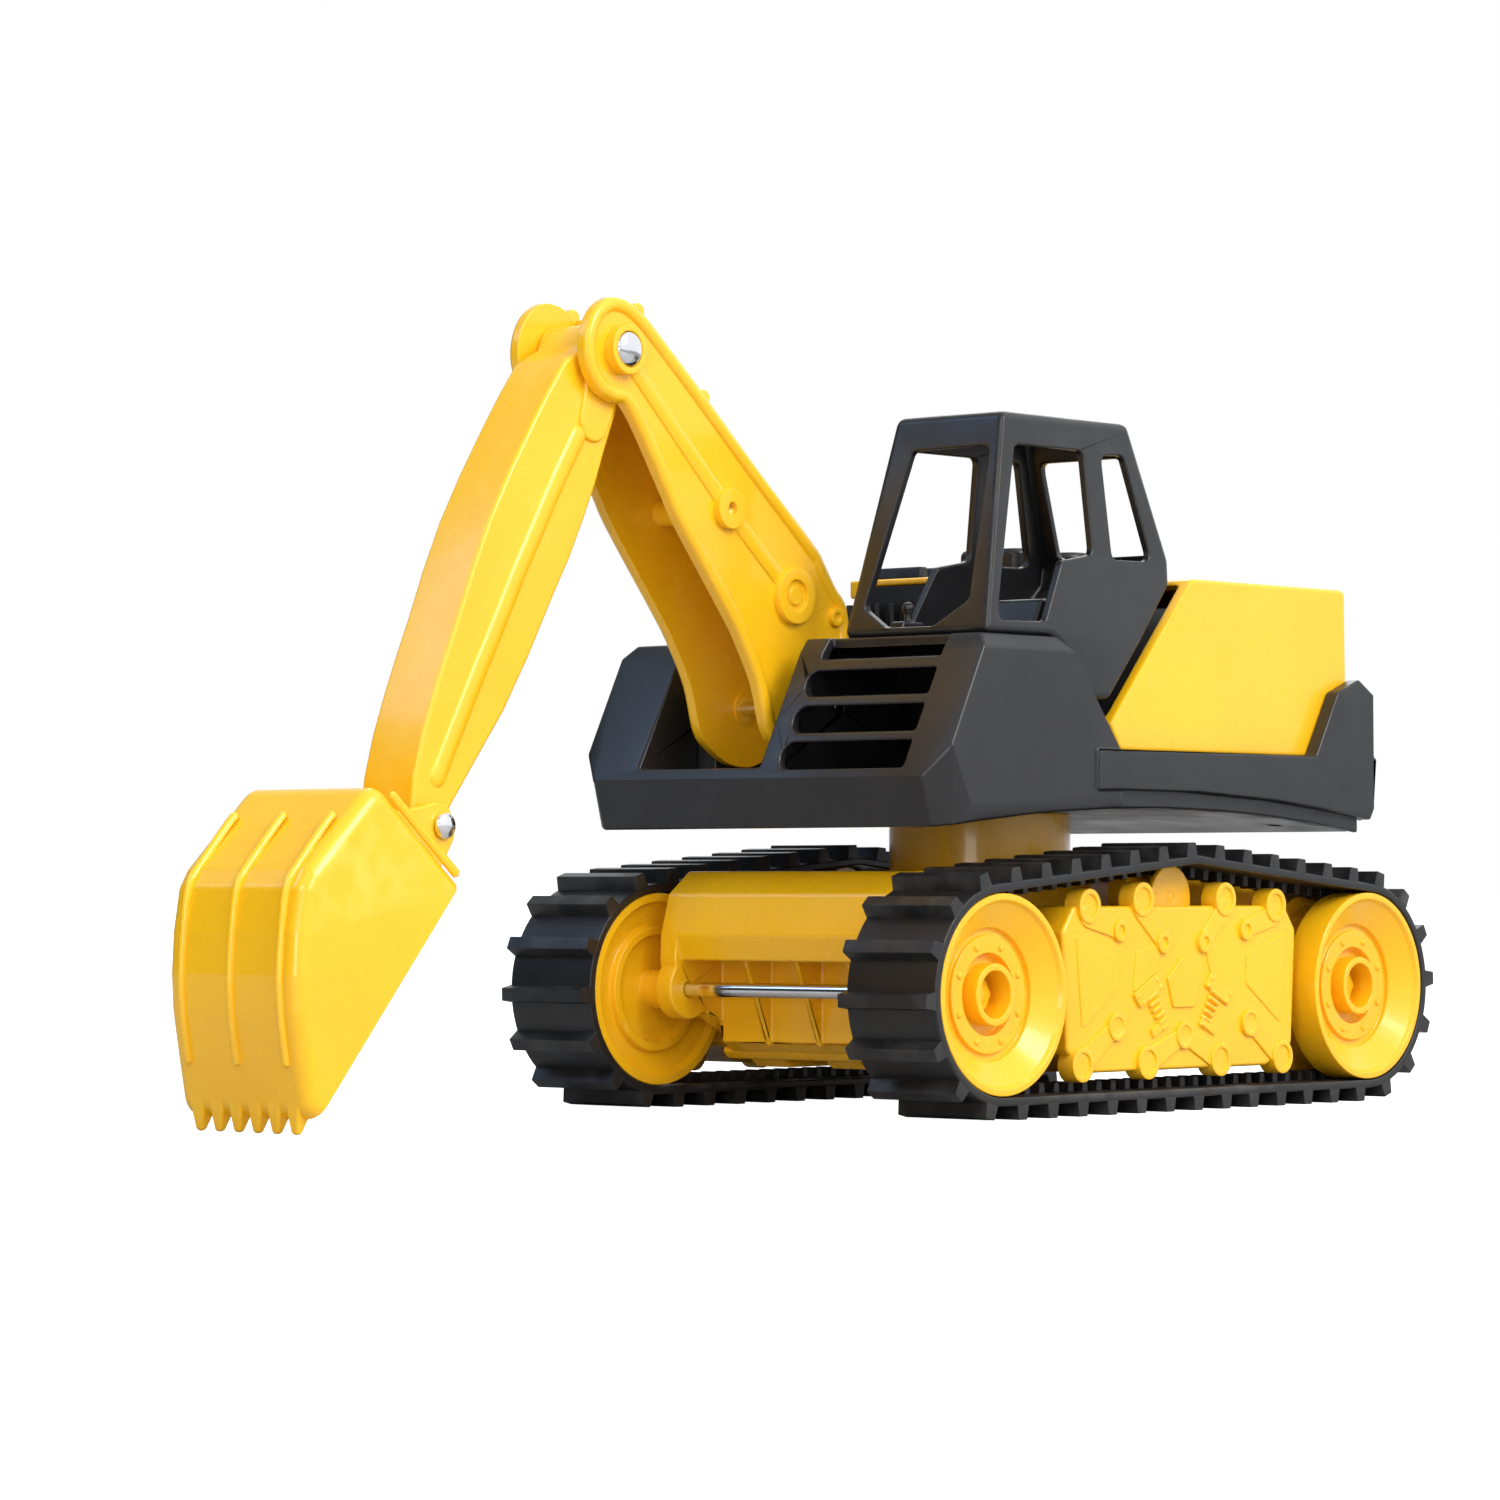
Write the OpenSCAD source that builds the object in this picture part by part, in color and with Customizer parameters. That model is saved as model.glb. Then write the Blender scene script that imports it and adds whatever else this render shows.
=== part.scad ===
// Toy excavator, life size, in millimetres. X forward, Y to the machine's left, Z up, tracks on Z = 0.
// The shapes are written about the swing axis; place() moves the whole toy so that its box is centred on X.

/* [Wheels and tracks] */
// Outside diameter of the four track wheels
wheel_d = 70; // [66:0.5:74]
// Distance between the front and rear axles
wheel_base = 220.34; // [214:0.5:226]
// Height of the axles above the ground
axle_z = 43.2; // [43.2:0.1:44]
// Width of one track belt
belt_w = 39.35; // [36:0.5:40]
// Thickness of the belt without its grousers
belt_t = 3.3; // [2.5:0.1:3.8]
// Number of grousers on each belt
grousers = 40; // [30:1:48]
// Height of a grouser above the belt
grouser_h = 4.9; // [3:0.1:4.9]
// Diameter of the steel axle rods
axle_d = 5.3; // [4:0.1:6]
// Diameter of the small carrier rollers
roller_d = 24; // [20:1:26]

/* [Chassis] */
// Half the width of the chassis between the tracks
chassis_hy = 54.4; // [50:0.2:56]
// Outside radius of the turntable column
column_r = 33.7; // [28:0.5:36]
// Plastic wall thickness
wall = 2.5; // [2:0.1:3]

/* [House] */
// Half the width of the house deck
deck_hy = 85.5; // [80:0.5:88]
// Half the width of the engine hood
hood_hy = 79.4; // [70:0.5:79.4]
// Height of the deck behind the front wedge
deck_z = 129.4; // [125:0.5:132]
// Height of the roof of the cab
cab_roof_z = 248; // [235:1:260]

/* [Digging arm] */
// Sideways position of the boom, stick and bucket
arm_y = -28; // [-32:0.5:-26]
// Half the width over the boom plates
boom_hy = 19.2; // [17:0.2:20]
// Half the width of the stick
stick_hy = 12.4; // [10:0.2:13]
// Half the width of the bucket
bucket_hy = 31; // [26:0.5:33]
// Number of bucket teeth
teeth = 6; // [3:1:8]

/* [Hidden] */
$fn = 64;
shift_x = -101.035;
arm_lift = -1.25;
wheel_r = wheel_d / 2;
ax = wheel_base / 2;
belt_in = 59.9;
belt_out = belt_in + belt_w;
belt_mid = belt_in + belt_w / 2;
roller_x = -2;
roller_r = roller_d / 2;
roller_z = 88.3 - roller_r;
axle_r = axle_d / 2;
base_pin = [85.5, 145.4];
tip_pin = [188.5, 264.5];
bucket_pin = [273.9, 96.5];
pin_r = 2.5;
slot_y0 = -56.5;
slot_y1 = 1;
yellow = [0.98, 0.72, 0.06];
black = [0.05, 0.055, 0.065];
steel = [0.75, 0.76, 0.78];

// ---------------------------------------------------------------- helpers

// Moves the whole toy so that its bounding box is centred on X
module place() {
    translate([shift_x, 0, 0]) children();
}

// Turns the digging arm about the boom's base pin
module arm_place() {
    translate([base_pin[0], 0, base_pin[1]]) rotate([0, arm_lift, 0])
        translate([-base_pin[0], 0, -base_pin[1]]) translate([0, arm_y, 0]) children();
}

// A flat outline given in X and Z, from y0 to y1
module side_plate(points, y0, y1) {
    translate([0, y1, 0]) rotate([90, 0, 0]) linear_extrude(y1 - y0) polygon(points);
}

// A round bar along Y
module bar_y(x, z, r, y0, y1) {
    translate([x, y1, z]) rotate([90, 0, 0]) cylinder(r = r, h = y1 - y0);
}

// A tube along Y
module tube_y(x, z, r, hole, y0, y1) {
    difference() {
        bar_y(x, z, r, y0, y1);
        bar_y(x, z, hole, y0 - 1, y1 + 1);
    }
}

// A flat tapered link in the XZ plane between two round ends
module link_y(a, b, ra, rb, y0, y1) {
    d = norm(b - a);
    th = atan2(b[1] - a[1], b[0] - a[0]);
    ph = acos((ra - rb) / d);
    translate([0, y1, 0]) rotate([90, 0, 0]) linear_extrude(y1 - y0) {
        polygon([for (s = [1, -1]) a + ra * [cos(th + s * ph), sin(th + s * ph)],
            for (s = [-1, 1]) b + rb * [cos(th + s * ph), sin(th + s * ph)]]);
        translate(a) circle(r = ra);
        translate(b) circle(r = rb);
    }
}

// A closed straight-edged body around a set of corner points
module corner_body(points) {
    hull() for (p = points) translate(p) cube(0.02, center = true);
}

// Copies its children to the mirrored side
module both_sides() {
    children();
    mirror([0, 1, 0]) children();
}

// ---------------------------------------------------------------- undercarriage

// Tangent angle of the belt's sloping top run
top_dx = ax - roller_x;
top_dz = roller_z - axle_z;
function run_angle(dx) = atan2(roller_z - axle_z, dx)
    - asin((wheel_r - roller_r) / sqrt(dx * dx + pow(roller_z - axle_z, 2)));
front_a = run_angle(ax - roller_x);
rear_a = run_angle(ax + roller_x);
front_run = sqrt(pow(ax - roller_x, 2) + pow(top_dz, 2) - pow(wheel_r - roller_r, 2));
rear_run = sqrt(pow(ax + roller_x, 2) + pow(top_dz, 2) - pow(wheel_r - roller_r, 2));

// Pieces of the belt's path, measured along the belt's outer face at distance d from the wheels
function arc_len(r, a) = r * a * PI / 180;
function path_len(d) = wheel_base + arc_len(wheel_r + d, 360 - front_a - rear_a)
    + front_run + rear_run + arc_len(roller_r + d, front_a + rear_a);
// Point and heading at distance s along the path: bottom run, front wheel, top run, roller, top run, rear wheel
function path_at(s, d) =
    let (l1 = wheel_base, l2 = l1 + arc_len(wheel_r + d, 180 - front_a), l3 = l2 + front_run,
         l4 = l3 + arc_len(roller_r + d, front_a + rear_a), l5 = l4 + rear_run)
    s < l1 ? [-ax + s, axle_z - wheel_r - d, 0]
    : s < l2 ? let (a = (s - l1) / (wheel_r + d) * 180 / PI)
        [ax + (wheel_r + d) * sin(a), axle_z - (wheel_r + d) * cos(a), a]
    : s < l3 ? let (t = s - l2, h = 180 - front_a)
        [ax + (wheel_r + d) * sin(h) + t * cos(h), axle_z - (wheel_r + d) * cos(h) + t * sin(h), h]
    : s < l4 ? let (a = 180 - front_a + (s - l3) / (roller_r + d) * 180 / PI)
        [roller_x + (roller_r + d) * sin(a), roller_z - (roller_r + d) * cos(a), a]
    : s < l5 ? let (t = s - l4, h = 180 + rear_a)
        [roller_x + (roller_r + d) * sin(h) + t * cos(h), roller_z - (roller_r + d) * cos(h) + t * sin(h), h]
    : let (a = 180 + rear_a + (s - l5) / (wheel_r + d) * 180 / PI)
        [-ax + (wheel_r + d) * sin(a), axle_z - (wheel_r + d) * cos(a), a];
belt_len = path_len(belt_t);
pitch = belt_len / grousers;

// Outline of the belt face at distance d outside the wheels
function belt_face(d, steps = 160) = [for (i = [0:steps - 1]) let (p = path_at(i * path_len(d) / steps, d)) [p[0], p[1]]];

module track_belt() {
    translate([0, belt_out, 0]) rotate([90, 0, 0]) linear_extrude(belt_w) difference() {
        polygon(belt_face(belt_t));
        polygon(belt_face(0.3));
    }
    for (i = [0:grousers - 1]) {
        p = path_at((i + 0.35) * pitch, belt_t);
        translate([p[0], 0, p[1]]) rotate([0, -p[2], 0])
            side_plate([[-3.2, 0.4], [-2.35, -grouser_h], [2.35, -grouser_h], [3.2, 0.4]], belt_in, belt_out);
    }
    for (i = [0:2 * grousers - 1]) {
        p = path_at((i + 0.35) * path_len(0.3) / (2 * grousers), 0.3);
        translate([p[0], 0, p[1]]) rotate([0, -p[2], 0])
            side_plate([[-1.7, -0.4], [-1.4, 3.6], [1.4, 3.6], [1.7, -0.4]], belt_mid - 4, belt_mid + 4);
    }
}

// Outline of the chassis seen from the side, mirrored front to rear
module chassis_frame() {
    difference() {
        union() {
            for (s = [1, -1]) scale([s, 1, 1]) {
                side_plate([[74, 85.9], [102, 85.9], [112.9, 77.8], [117.2, 62.8], [114.2, 53.7],
                    [90, 53.7], [74, 53.7]], -chassis_hy, chassis_hy);
                both_sides() {
                    side_plate([[74, 85.9], [102, 85.9], [112.9, 77.8], [117.2, 62.8], [117.6, 54],
                        [114.5, 42], [106, 35], [74, 35]], 46.6, chassis_hy);
                    bar_y(ax - 1, 43.4, 11, 46.6, chassis_hy);
                    side_plate([[74, 54], [103, 54], [100, 34.6], [74, 22]], 46.6, chassis_hy);
                }
                side_plate([[86, 54], [92, 54], [92, 24], [86, 20]], -47, 47);
                for (y = [-24, 0, 24]) side_plate([[91.9, 54], [106, 54], [91.9, 22]], y - 1, y + 1);
            }
            side_plate([[-76, 85.9], [76, 85.9], [76, 22], [-76, 22]], -chassis_hy, chassis_hy);
        }
        side_plate([[-84, 83.4], [84, 83.4], [84, 10], [-84, 10]], -chassis_hy + wall, chassis_hy - wall);
        for (s = [1, -1]) scale([s, 1, 1])
            side_plate([[83.9, 83.4], [101, 83.4], [110.9, 76.3], [114.6, 62.8], [112.8, 56.2], [94, 56.2],
                [83.9, 56.2]], -chassis_hy + wall, chassis_hy - wall);
        for (s = [1, -1]) bar_y(s * ax, axle_z, axle_r, -60, 60);
        both_sides() for (x = [-48, 48]) bar_y(x, 54, 1.5, 50, 60);
        translate([0, 0, 80]) cylinder(r = column_r - 3, h = 10);
    }
}

// The round column that carries the house, with the smaller hub the house turns on
module turntable_column() {
    difference() {
        union() {
            translate([0, 0, 85.9]) cylinder(r = column_r, h = 21.8, $fn = 96);
            translate([0, 0, 100]) cylinder(r = 14, h = 18, $fn = 96);
            translate([0, 0, 83.4]) cylinder(r = column_r - 3.1, h = 3, $fn = 96);
        }
        translate([0, 0, 80]) cylinder(r = column_r - 5.5, h = 25);
        translate([0, 0, 90]) cylinder(r = 1.5, h = 40);
    }
}

// Bottom pan between the tracks, with a scalloped lower edge and ribs
module belly_plate() {
    side_plate([[-85.9, 21.8], [-85.9, 20], [-83.4, 17.5], [83.4, 17.5], [85.9, 20], [85.9, 21.8]], -51.7, 51.7);
    for (s = [1, -1]) scale([s, 1, 1])
        side_plate([[83.9, 21.7], [85.9, 21.7], [85.9, 53.4], [83.9, 53.4]], -46.4, 46.4);
    for (y = [-36, 0, 36]) side_plate([[-80, 17.6], [-76, 14.5], [76, 14.5], [80, 17.6]], y - 8, y + 8);
}

// Raised pattern on the outer face of a side cover; every shape is mirrored front to rear
module cover_relief(y0, y1) {
    for (s = [1, -1]) scale([s, 1, 1]) {
        for (p = [[56.4, 73.5], [24.9, 75.8]]) tube_y(p[0], p[1], 6.2, 4.2, y0, y1);
        for (p = [[60.5, 17.7], [21.9, 17.7]]) tube_y(p[0], p[1], 6.2, 4.2, y0, y1);
        bar_y(40.3, 30.6, 5, y0, y1);
        link_y([56.4, 67.4], [38.2, 64.8], 2.2, 3.2, y0, y1 - 0.4);
        link_y([24.9, 69.6], [12.4, 60.4], 2.2, 3.2, y0, y1 - 0.4);
        tube_y(38.2, 64.8, 4, 1.5, y0, y1);
        tube_y(12.4, 60.4, 4, 1.5, y0, y1);
        link_y([60.5, 17.7], [40.3, 30.6], 3.6, 2.4, y0, y1 - 0.6);
        link_y([21.9, 17.7], [0, 26.9], 3.6, 2.4, y0, y1 - 0.6);
        side_plate([[63.2, 63.4], [38.6, 55.6], [38.5, 44.7], [60.1, 30.1]], y0, y1 - 0.7);
        side_plate([[30.6, 42.1], [16.2, 49.7], [12.7, 44.5], [26.4, 37]], y0, y1 - 0.3);
        for (p = [[27.9, 41.6], [17, 47.4], [25, 38.9], [14.6, 44.6]]) bar_y(p[0], p[1], 0.9, y0, y1 + 0.2);
        for (t = [0:5]) link_y([22.6 - t * 1.7, 39.4 - t * 2.2], [15.9 - t * 1.2, 42.3 - t * 2.4], 0.8, 0.8, y0, y1 - 0.2);
    }
    bar_y(0, 26.9, 5, y0, y1);
    side_plate([[0, 55.7], [-10.1, 47.7], [-6.5, 36.9], [6.5, 36.9], [10.1, 47.7]], y0, y1 - 0.7);
}

cover_edge = [[-64, 73.5], [-70.5, 64.5], [-69.4, 40], [-68, 22], [-52, 14.7], [52, 14.7], [68, 22], [69.4, 40],
    [70.5, 64.5], [64, 73.5]];
cover_core = [[-63, 71], [-68, 63.5], [-67, 40], [-65.6, 23.6], [-51.5, 17.2], [51.5, 17.2], [65.6, 23.6],
    [67, 40], [68, 63.5], [63, 71]];
module side_cover() {
    difference() {
        union() {
            side_plate(cover_edge, chassis_hy, 93.4);
            cover_relief(93.3, 94.9);
            for (s = [1, -1]) for (p = [[56.4, 73.5], [24.9, 75.8], [60.5, 17.7], [21.9, 17.7]])
                bar_y(s * p[0], p[1], 6.2, 88, 93.5);
        }
        side_plate(cover_core, chassis_hy + wall, 90.9);
        side_plate([[-16, 58], [12, 58], [12, 90], [-16, 90]], 66, 88);
        side_plate([[-60, 62], [60, 62], [60, 24], [-60, 24]], chassis_hy - 1, chassis_hy + wall + 1);
    }
    for (s = [1, -1]) tube_y(s * 48, 54, 4, 1.55, chassis_hy, 91);
    difference() {
        side_plate([[-8, 71.1], [4, 71.1], [4, 62], [-8, 62]], 88, 91);
        bar_y(roller_x, roller_z, 2.05, 80, 90);
    }
}

// Screws that hold the two side covers to the chassis, put in from inside
module chassis_screws() {
    both_sides() for (x = [-48, 48]) {
        bar_y(x, 54, 1.5, 52, 66);
        bar_y(x, 54, 3, 50.2, 51.9);
    }
}

module axle(x) {
    bar_y(x, axle_z, axle_r, -86.5, 86.5);
}

// Hexagonal caps pressed on the ends of both axle rods, to keep the wheels on
module axle_caps() {
    both_sides() for (x = [-ax, ax]) difference() {
        translate([x, 89, axle_z]) rotate([90, 0, 0]) cylinder(r = 6.2, h = 4.4, $fn = 6);
        bar_y(x, axle_z, axle_r, 80, 86.5);
    }
}

// A track wheel: drum with a groove for the belt's teeth, dished face, riveted flange, hub tube, inner sleeve
module track_wheel(x) {
    translate([x, 0, axle_z]) rotate([-90, 0, 0]) {
        rotate_extrude($fn = 96) polygon([
            [axle_r + 0.05, 55], [7.2, 55], [7.2, 64.5], [18.8, 64.5], [19.6, 62.2], [22.6, 62.2], [23.2, 64.5],
            [31, 63], [32, 60.6], [34.9, 60.6], [34.9, 73.6], [30.4, 73.9], [30.4, 85.2], [34.9, 85.5],
            [34.9, 98.4], [34.4, 98.9], [32.9, 98.9], [32.3, 98.2], [23.1, 91.9], [23.1, 90.2], [20.5, 90.2],
            [20.5, 91.7], [14.3, 91.7], [14.3, 88.2], [10.8, 88.2], [10.8, 94.6], [10.4, 95], [8.7, 95],
            [8.3, 94.6], [8.3, 84.4], [axle_r + 0.05, 84.4]]);
        for (a = [22.5:45:360]) rotate([0, 0, a]) translate([17.4, 0, 91.6]) cylinder(r = 1.2, h = 0.8);
    }
}

// Carrier roller under the middle of the belt's top run, grooved for the belt's teeth
module carrier_roller() {
    translate([roller_x, 0, roller_z]) rotate([-90, 0, 0]) rotate_extrude($fn = 96) polygon([
        [2.05, 66.6], [roller_r - 1, 66.6], [roller_r - 0.1, 67.5], [roller_r - 0.1, 74.5],
        [roller_r - 4.5, 74.8], [roller_r - 4.5, 84.3], [roller_r - 0.1, 84.6], [roller_r - 0.1, 85.9],
        [roller_r - 1, 86.8], [2.05, 86.8]]);
}

// Short steel pins through both side covers that the carrier rollers turn on
module roller_pins() {
    both_sides() bar_y(roller_x, roller_z, 2, 62, 89.5);
}

module swing_washer() {
    translate([0, 0, 118]) difference() {
        cylinder(r = 17.5, h = 1.5);
        translate([0, 0, -1]) cylinder(r = 1.6, h = 4);
    }
}

module swing_screw() {
    translate([0, 0, 104]) cylinder(r = 1.5, h = 15.6);
    translate([0, 0, 119.5]) difference() {
        cylinder(r = 3.6, h = 2.2);
        for (a = [0, 90]) rotate([0, 0, a]) translate([-2.2, -0.45, 1]) cube([4.4, 0.9, 2]);
    }
}

// ---------------------------------------------------------------- house

arch_r = 1000;
// Everything under the long arch of the house's lower edge
module under_arch(crown_x, crown_z, hy) {
    translate([crown_x, hy, crown_z - arch_r]) rotate([90, 0, 0]) cylinder(r = arch_r, h = 2 * hy, $fn = 360);
}

// Slot of the front grille: a straight slot with one round end
module grille_slot(z0, z1, y0, y1) {
    h = z1 - z0;
    translate([96, y0 + h / 2, z0]) cube([40, y1 - y0 - h / 2, h]);
    translate([96, y0 + h / 2, (z0 + z1) / 2]) rotate([0, 90, 0]) cylinder(r = h / 2, h = 40);
}

module deck_outer() {
    // front wedge with its bumper
    corner_body([for (s = [-1, 1]) each [
        [123.1, s * 76.8, 100.7], [128.6, s * 76.6, 118.5], [122.1, s * 85.4, 129.7], [104.4, s * 85.4, 164],
        [100.5, s * 80.9, 168.8], [57.9, s * 80.9, 168.8], [53.2, s * 85.4, 163.9], [25.7, s * 85.4, 129.2],
        [24, s * 85.4, 110.5], [112, s * 85.4, 109], [118, s * 82.2, 101], [24, s * 82.2, 101]]]);
    // long low body, with an inset lip below the side faces
    intersection() {
        side_plate([[40, deck_z], [40, 100], [-128, 100], [-134.4, 110], [-134.4, deck_z]], -deck_hy, deck_hy);
        union() {
            difference() {
                translate([-140, -deck_hy, 95]) cube([190, 2 * deck_hy, 40]);
                under_arch(5.8, 115.2, 90);
            }
            translate([-128, -82, 95]) cube([180, 164, 40]);
        }
    }
    // rear wall with raised posts
    side_plate([[-125.6, 129], [-125.6, 153.5], [-134.2, 153.2], [-134.4, 129]], -79.4, 79.4);
    both_sides() side_plate([[-95.5, 129], [-110.3, 153.8], [-124.1, 159], [-134.2, 153.2], [-134.4, 129]],
        79.6, deck_hy);
}

module house_deck() {
    difference() {
        deck_outer();
        under_arch(-2.5, 108.8, 90);
        // hollow of the long body
        translate([-131.8, -79.4, 95]) cube([160, 158.8, deck_z - 95 - wall]);
        // hollow of the wedge, on both sides of the arm slot
        side_plate([[28, 95], [113, 95], [113, 126], [98, 155], [94.6, 166.2], [60, 166.2], [55, 162], [28, 126]],
            slot_y1 + 3, 79.4);
        side_plate([[28, 95], [113, 95], [113, 126], [98, 155], [94.6, 166.2], [60, 166.2], [55, 162], [28, 126]],
            -79.4, slot_y0 - 3);
        side_plate([[28, 95], [120, 95], [120, 101.5], [125.2, 117.5], [118.2, 130], [97.6, 166.2], [94, 166.2],
            [90, 119.7], [28, 119.7]], slot_y1 + 3, 72);
        side_plate([[28, 95], [120, 95], [120, 101.5], [125.2, 117.5], [118.2, 130], [97.6, 166.2], [94, 166.2],
            [90, 119.7], [28, 119.7]], -72, slot_y0 - 3);
        side_plate([[27, 95], [120, 95], [120, 101.5], [125.2, 117.5], [124, 119.7], [27, 119.7]], -72, 72);
        // slot for the arm
        translate([20, slot_y0, 122.5]) cube([120, slot_y1 - slot_y0, 60]);
        // grille
        for (z = [[121.5, 131.3], [134.5, 144.1], [147.6, 156.8]]) grille_slot(z[0], z[1], 9, 67);
        translate([98, 12, 161]) cube([30, 55, 12]);
        // hood seat, open to the engine bay
        translate([-110, -72, 120]) cube([110, 144, 20]);
        // pin holes through the slot walls
        bar_y(base_pin[0], base_pin[1], pin_r, slot_y0 - 10, slot_y1 + 10);
    }
}

// Arched bottom plate of the house, with the bearing the column turns in
module house_floor() {
    difference() {
        union() {
            difference() {
                translate([-125.2, -79.2, 95]) cube([238, 158.4, 30]);
                under_arch(-2.5, 108.8, 90);
                difference() {
                    translate([-140, -90, 90]) cube([270, 180, 60]);
                    under_arch(-2.5, 111.3, 90);
                }
            }
            translate([0, 0, 108.4]) cylinder(r = 22, h = 9.4);
            for (y = [-60, 60]) translate([-104, y, 104.6]) cylinder(r = 4.5, h = 12);
        }
        translate([0, 0, 90]) cylinder(r = 14.05, h = 40, $fn = 96);
        translate([0, 0, 90]) cylinder(r = 24, h = 18.1);
        for (y = [-60, 60]) {
            translate([-104, y, 90]) cylinder(r = 1.5, h = 40);
            translate([-104, y, 90]) cylinder(r = 3.1, h = 18);
        }
    }
}

module floor_screws() {
    for (y = [-60, 60]) {
        translate([-104, y, 106.6]) cylinder(r = 2.9, h = 1.4);
        translate([-104, y, 107]) cylinder(r = 1.5, h = 14);
    }
}

// Cab outline from the side and from the front
cab_side = [[95.9, 168.85], [80.5, cab_roof_z], [7.2, cab_roof_z], [-13.4, 199.7], [-13.3, 190], [24.7, 147.3],
    [39.3, 147.3], [56.9, 168.95]];
cab_room = [[92.6, 166], [77.9, cab_roof_z - 3], [9.3, cab_roof_z - 3], [-10.4, 199], [-10.3, 191.2], [26, 150.3],
    [36, 140], [60, 140]];
module cab_body(side, y0, y1, y2, y3, top) {
    intersection() {
        side_plate(side, 0, 100);
        translate([-40, 0, 0]) rotate([90, 0, 90]) linear_extrude(160)
            polygon([[y0, 140], [y0, 168.6], [y1, top], [y2, top], [y3, 168.6], [y3, 140]]);
    }
}
module cab_shell() {
    difference() {
        cab_body(cab_side, 14.2, 26.5, 75, 80, cab_roof_z);
        cab_body(cab_room, 17.2, 29.3, 72, 77, cab_roof_z - 3);
        side_plate([[74.7, 236.3], [35.2, 236.4], [32.5, 199.2], [50.9, 196.1], [62.2, 174.1], [87.5, 173.5],
            [88.8, 177.6]], 0, 100);
        side_plate([[24.5, 235.4], [11.4, 236.2], [-2.4, 198.2], [21, 198]], 0, 100);
        translate([60, 0, 0]) rotate([90, 0, 90]) linear_extrude(50)
            polygon([[35.4, 235.5], [70.9, 235.8], [69.7, 180.9], [54.7, 172], [33.1, 172.1], [22, 179.2]]);
        translate([-30, 0, 0]) rotate([90, 0, 90]) linear_extrude(48)
            polygon([[32.5, 236], [69, 236], [72, 201.4], [29.3, 201.4]]);
    }
}

// Seat with its back rest, on a floor plate that closes the cab below
module cab_seat() {
    side_plate([[35, 168.9], [60, 168.9], [60, 174], [43, 174], [39, 184], [34, 184]], 34, 60);
    translate([57.9, 19, 168.9]) cube([32, 56, 1.6]);
}

// Low control stands with short levers in front of the seat
module control_console() {
    for (y = [28, 62]) {
        side_plate([[68, 170.5], [84, 170.5], [82, 175], [71, 175]], y - 3, y + 3);
        translate([76, y, 174.5]) cylinder(r = 1.4, h = 5);
        translate([76, y, 180]) sphere(r = 2.2, $fn = 32);
    }
}

hood_side = [[18.5, 129.5], [24.3, 138.6], [-24.5, 192.4], [-26.5, 193.2], [-122, 193.2], [-123.8, 191.4],
    [-125.4, 129.5]];
module engine_hood() {
    difference() {
        union() {
            side_plate(hood_side, -hood_hy, hood_hy);
            side_plate([[-10, 172], [-10, 197.6], [-112, 197.6], [-116, 193], [-112, 172]], -72, 13);
        }
        side_plate([[12, 128], [15, 138], [-26, 188.6], [-28, 190.7], [-119.5, 190.7], [-121.3, 189.5],
            [-122.9, 128]], -hood_hy + wall, hood_hy - wall);
        side_plate([[-12.5, 172], [-12.5, 195.1], [-110.5, 195.1], [-112, 190], [-112, 172]], -69.5, 10.5);
        // front opening that the louvre panel fills
        side_plate([[40, 140.5], [-5.5, 190.6], [-30, 190.6], [12, 140.5]], -hood_hy + 5, hood_hy - 5);
        side_plate([[-9, 176], [-13.5, 176], [-13.5, 195.1], [-9, 195.1]], -66, 8);
    }
}

// Black inclined panel with upright triangular fins at the front of the hood
module louvre_panel() {
    side_plate([[20.6, 140.6], [-17.2, 182.2], [-19.2, 181], [18, 140.6]], -hood_hy + 5.2, hood_hy - 5.2);
    side_plate([[-10.6, 173.5], [-10.6, 194.7], [-12.2, 194.7], [-12.2, 175]], -65.6, 7.6);
    for (y = [-70:7:9]) side_plate([[18.6, 141], [-8, 170.2], [-6, 188], [-8.6, 188], [-17.5, 182]], y, y + 2.2);
}

// Cooling ribs on the raised part of the hood
module hood_ribs() {
    for (i = [0:4]) side_plate([[-20.5 - i * 9.2, 197.6], [-19.8 - i * 9.2, 202.2], [-16 - i * 9.2, 202.2],
        [-15.2 - i * 9.2, 197.6]], -70, -41);
}

// Three round stacks on the hood
module exhaust_stacks() {
    for (s = [[-21, 0.6, 8.3], [-53, 1, 8], [-23, -19, 6.5]]) translate([s[0], s[1], 197.6])
        rotate_extrude() polygon([[0, 0], [s[2], 0], [s[2], 8], [s[2] - 1, 9.6], [s[2] - 2.5, 9.6], [s[2] - 2.5, 5], [0, 5]]);
}

// Yellow strip behind the grille
module grille_strip() {
    side_plate([[90, 119.8], [96, 119.8], [86, 160], [80, 160]], 54, 60);
}

// Bearing block on one side of the slot, for the boom's base pin
module arm_bracket(y0, y1) {
    difference() {
        union() {
            bar_y(base_pin[0], base_pin[1], 9, y0, y1);
            translate([base_pin[0] - 9, y0, 122.5]) cube([18, y1 - y0, base_pin[1] - 122.5]);
        }
        bar_y(base_pin[0], base_pin[1], pin_r, y0 - 1, y1 + 1);
    }
}

module boom_base_pin() {
    bar_y(base_pin[0], base_pin[1], pin_r, slot_y0 - 3, slot_y1 + 3);
}

// ---------------------------------------------------------------- digging arm, about its own centre plane

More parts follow.
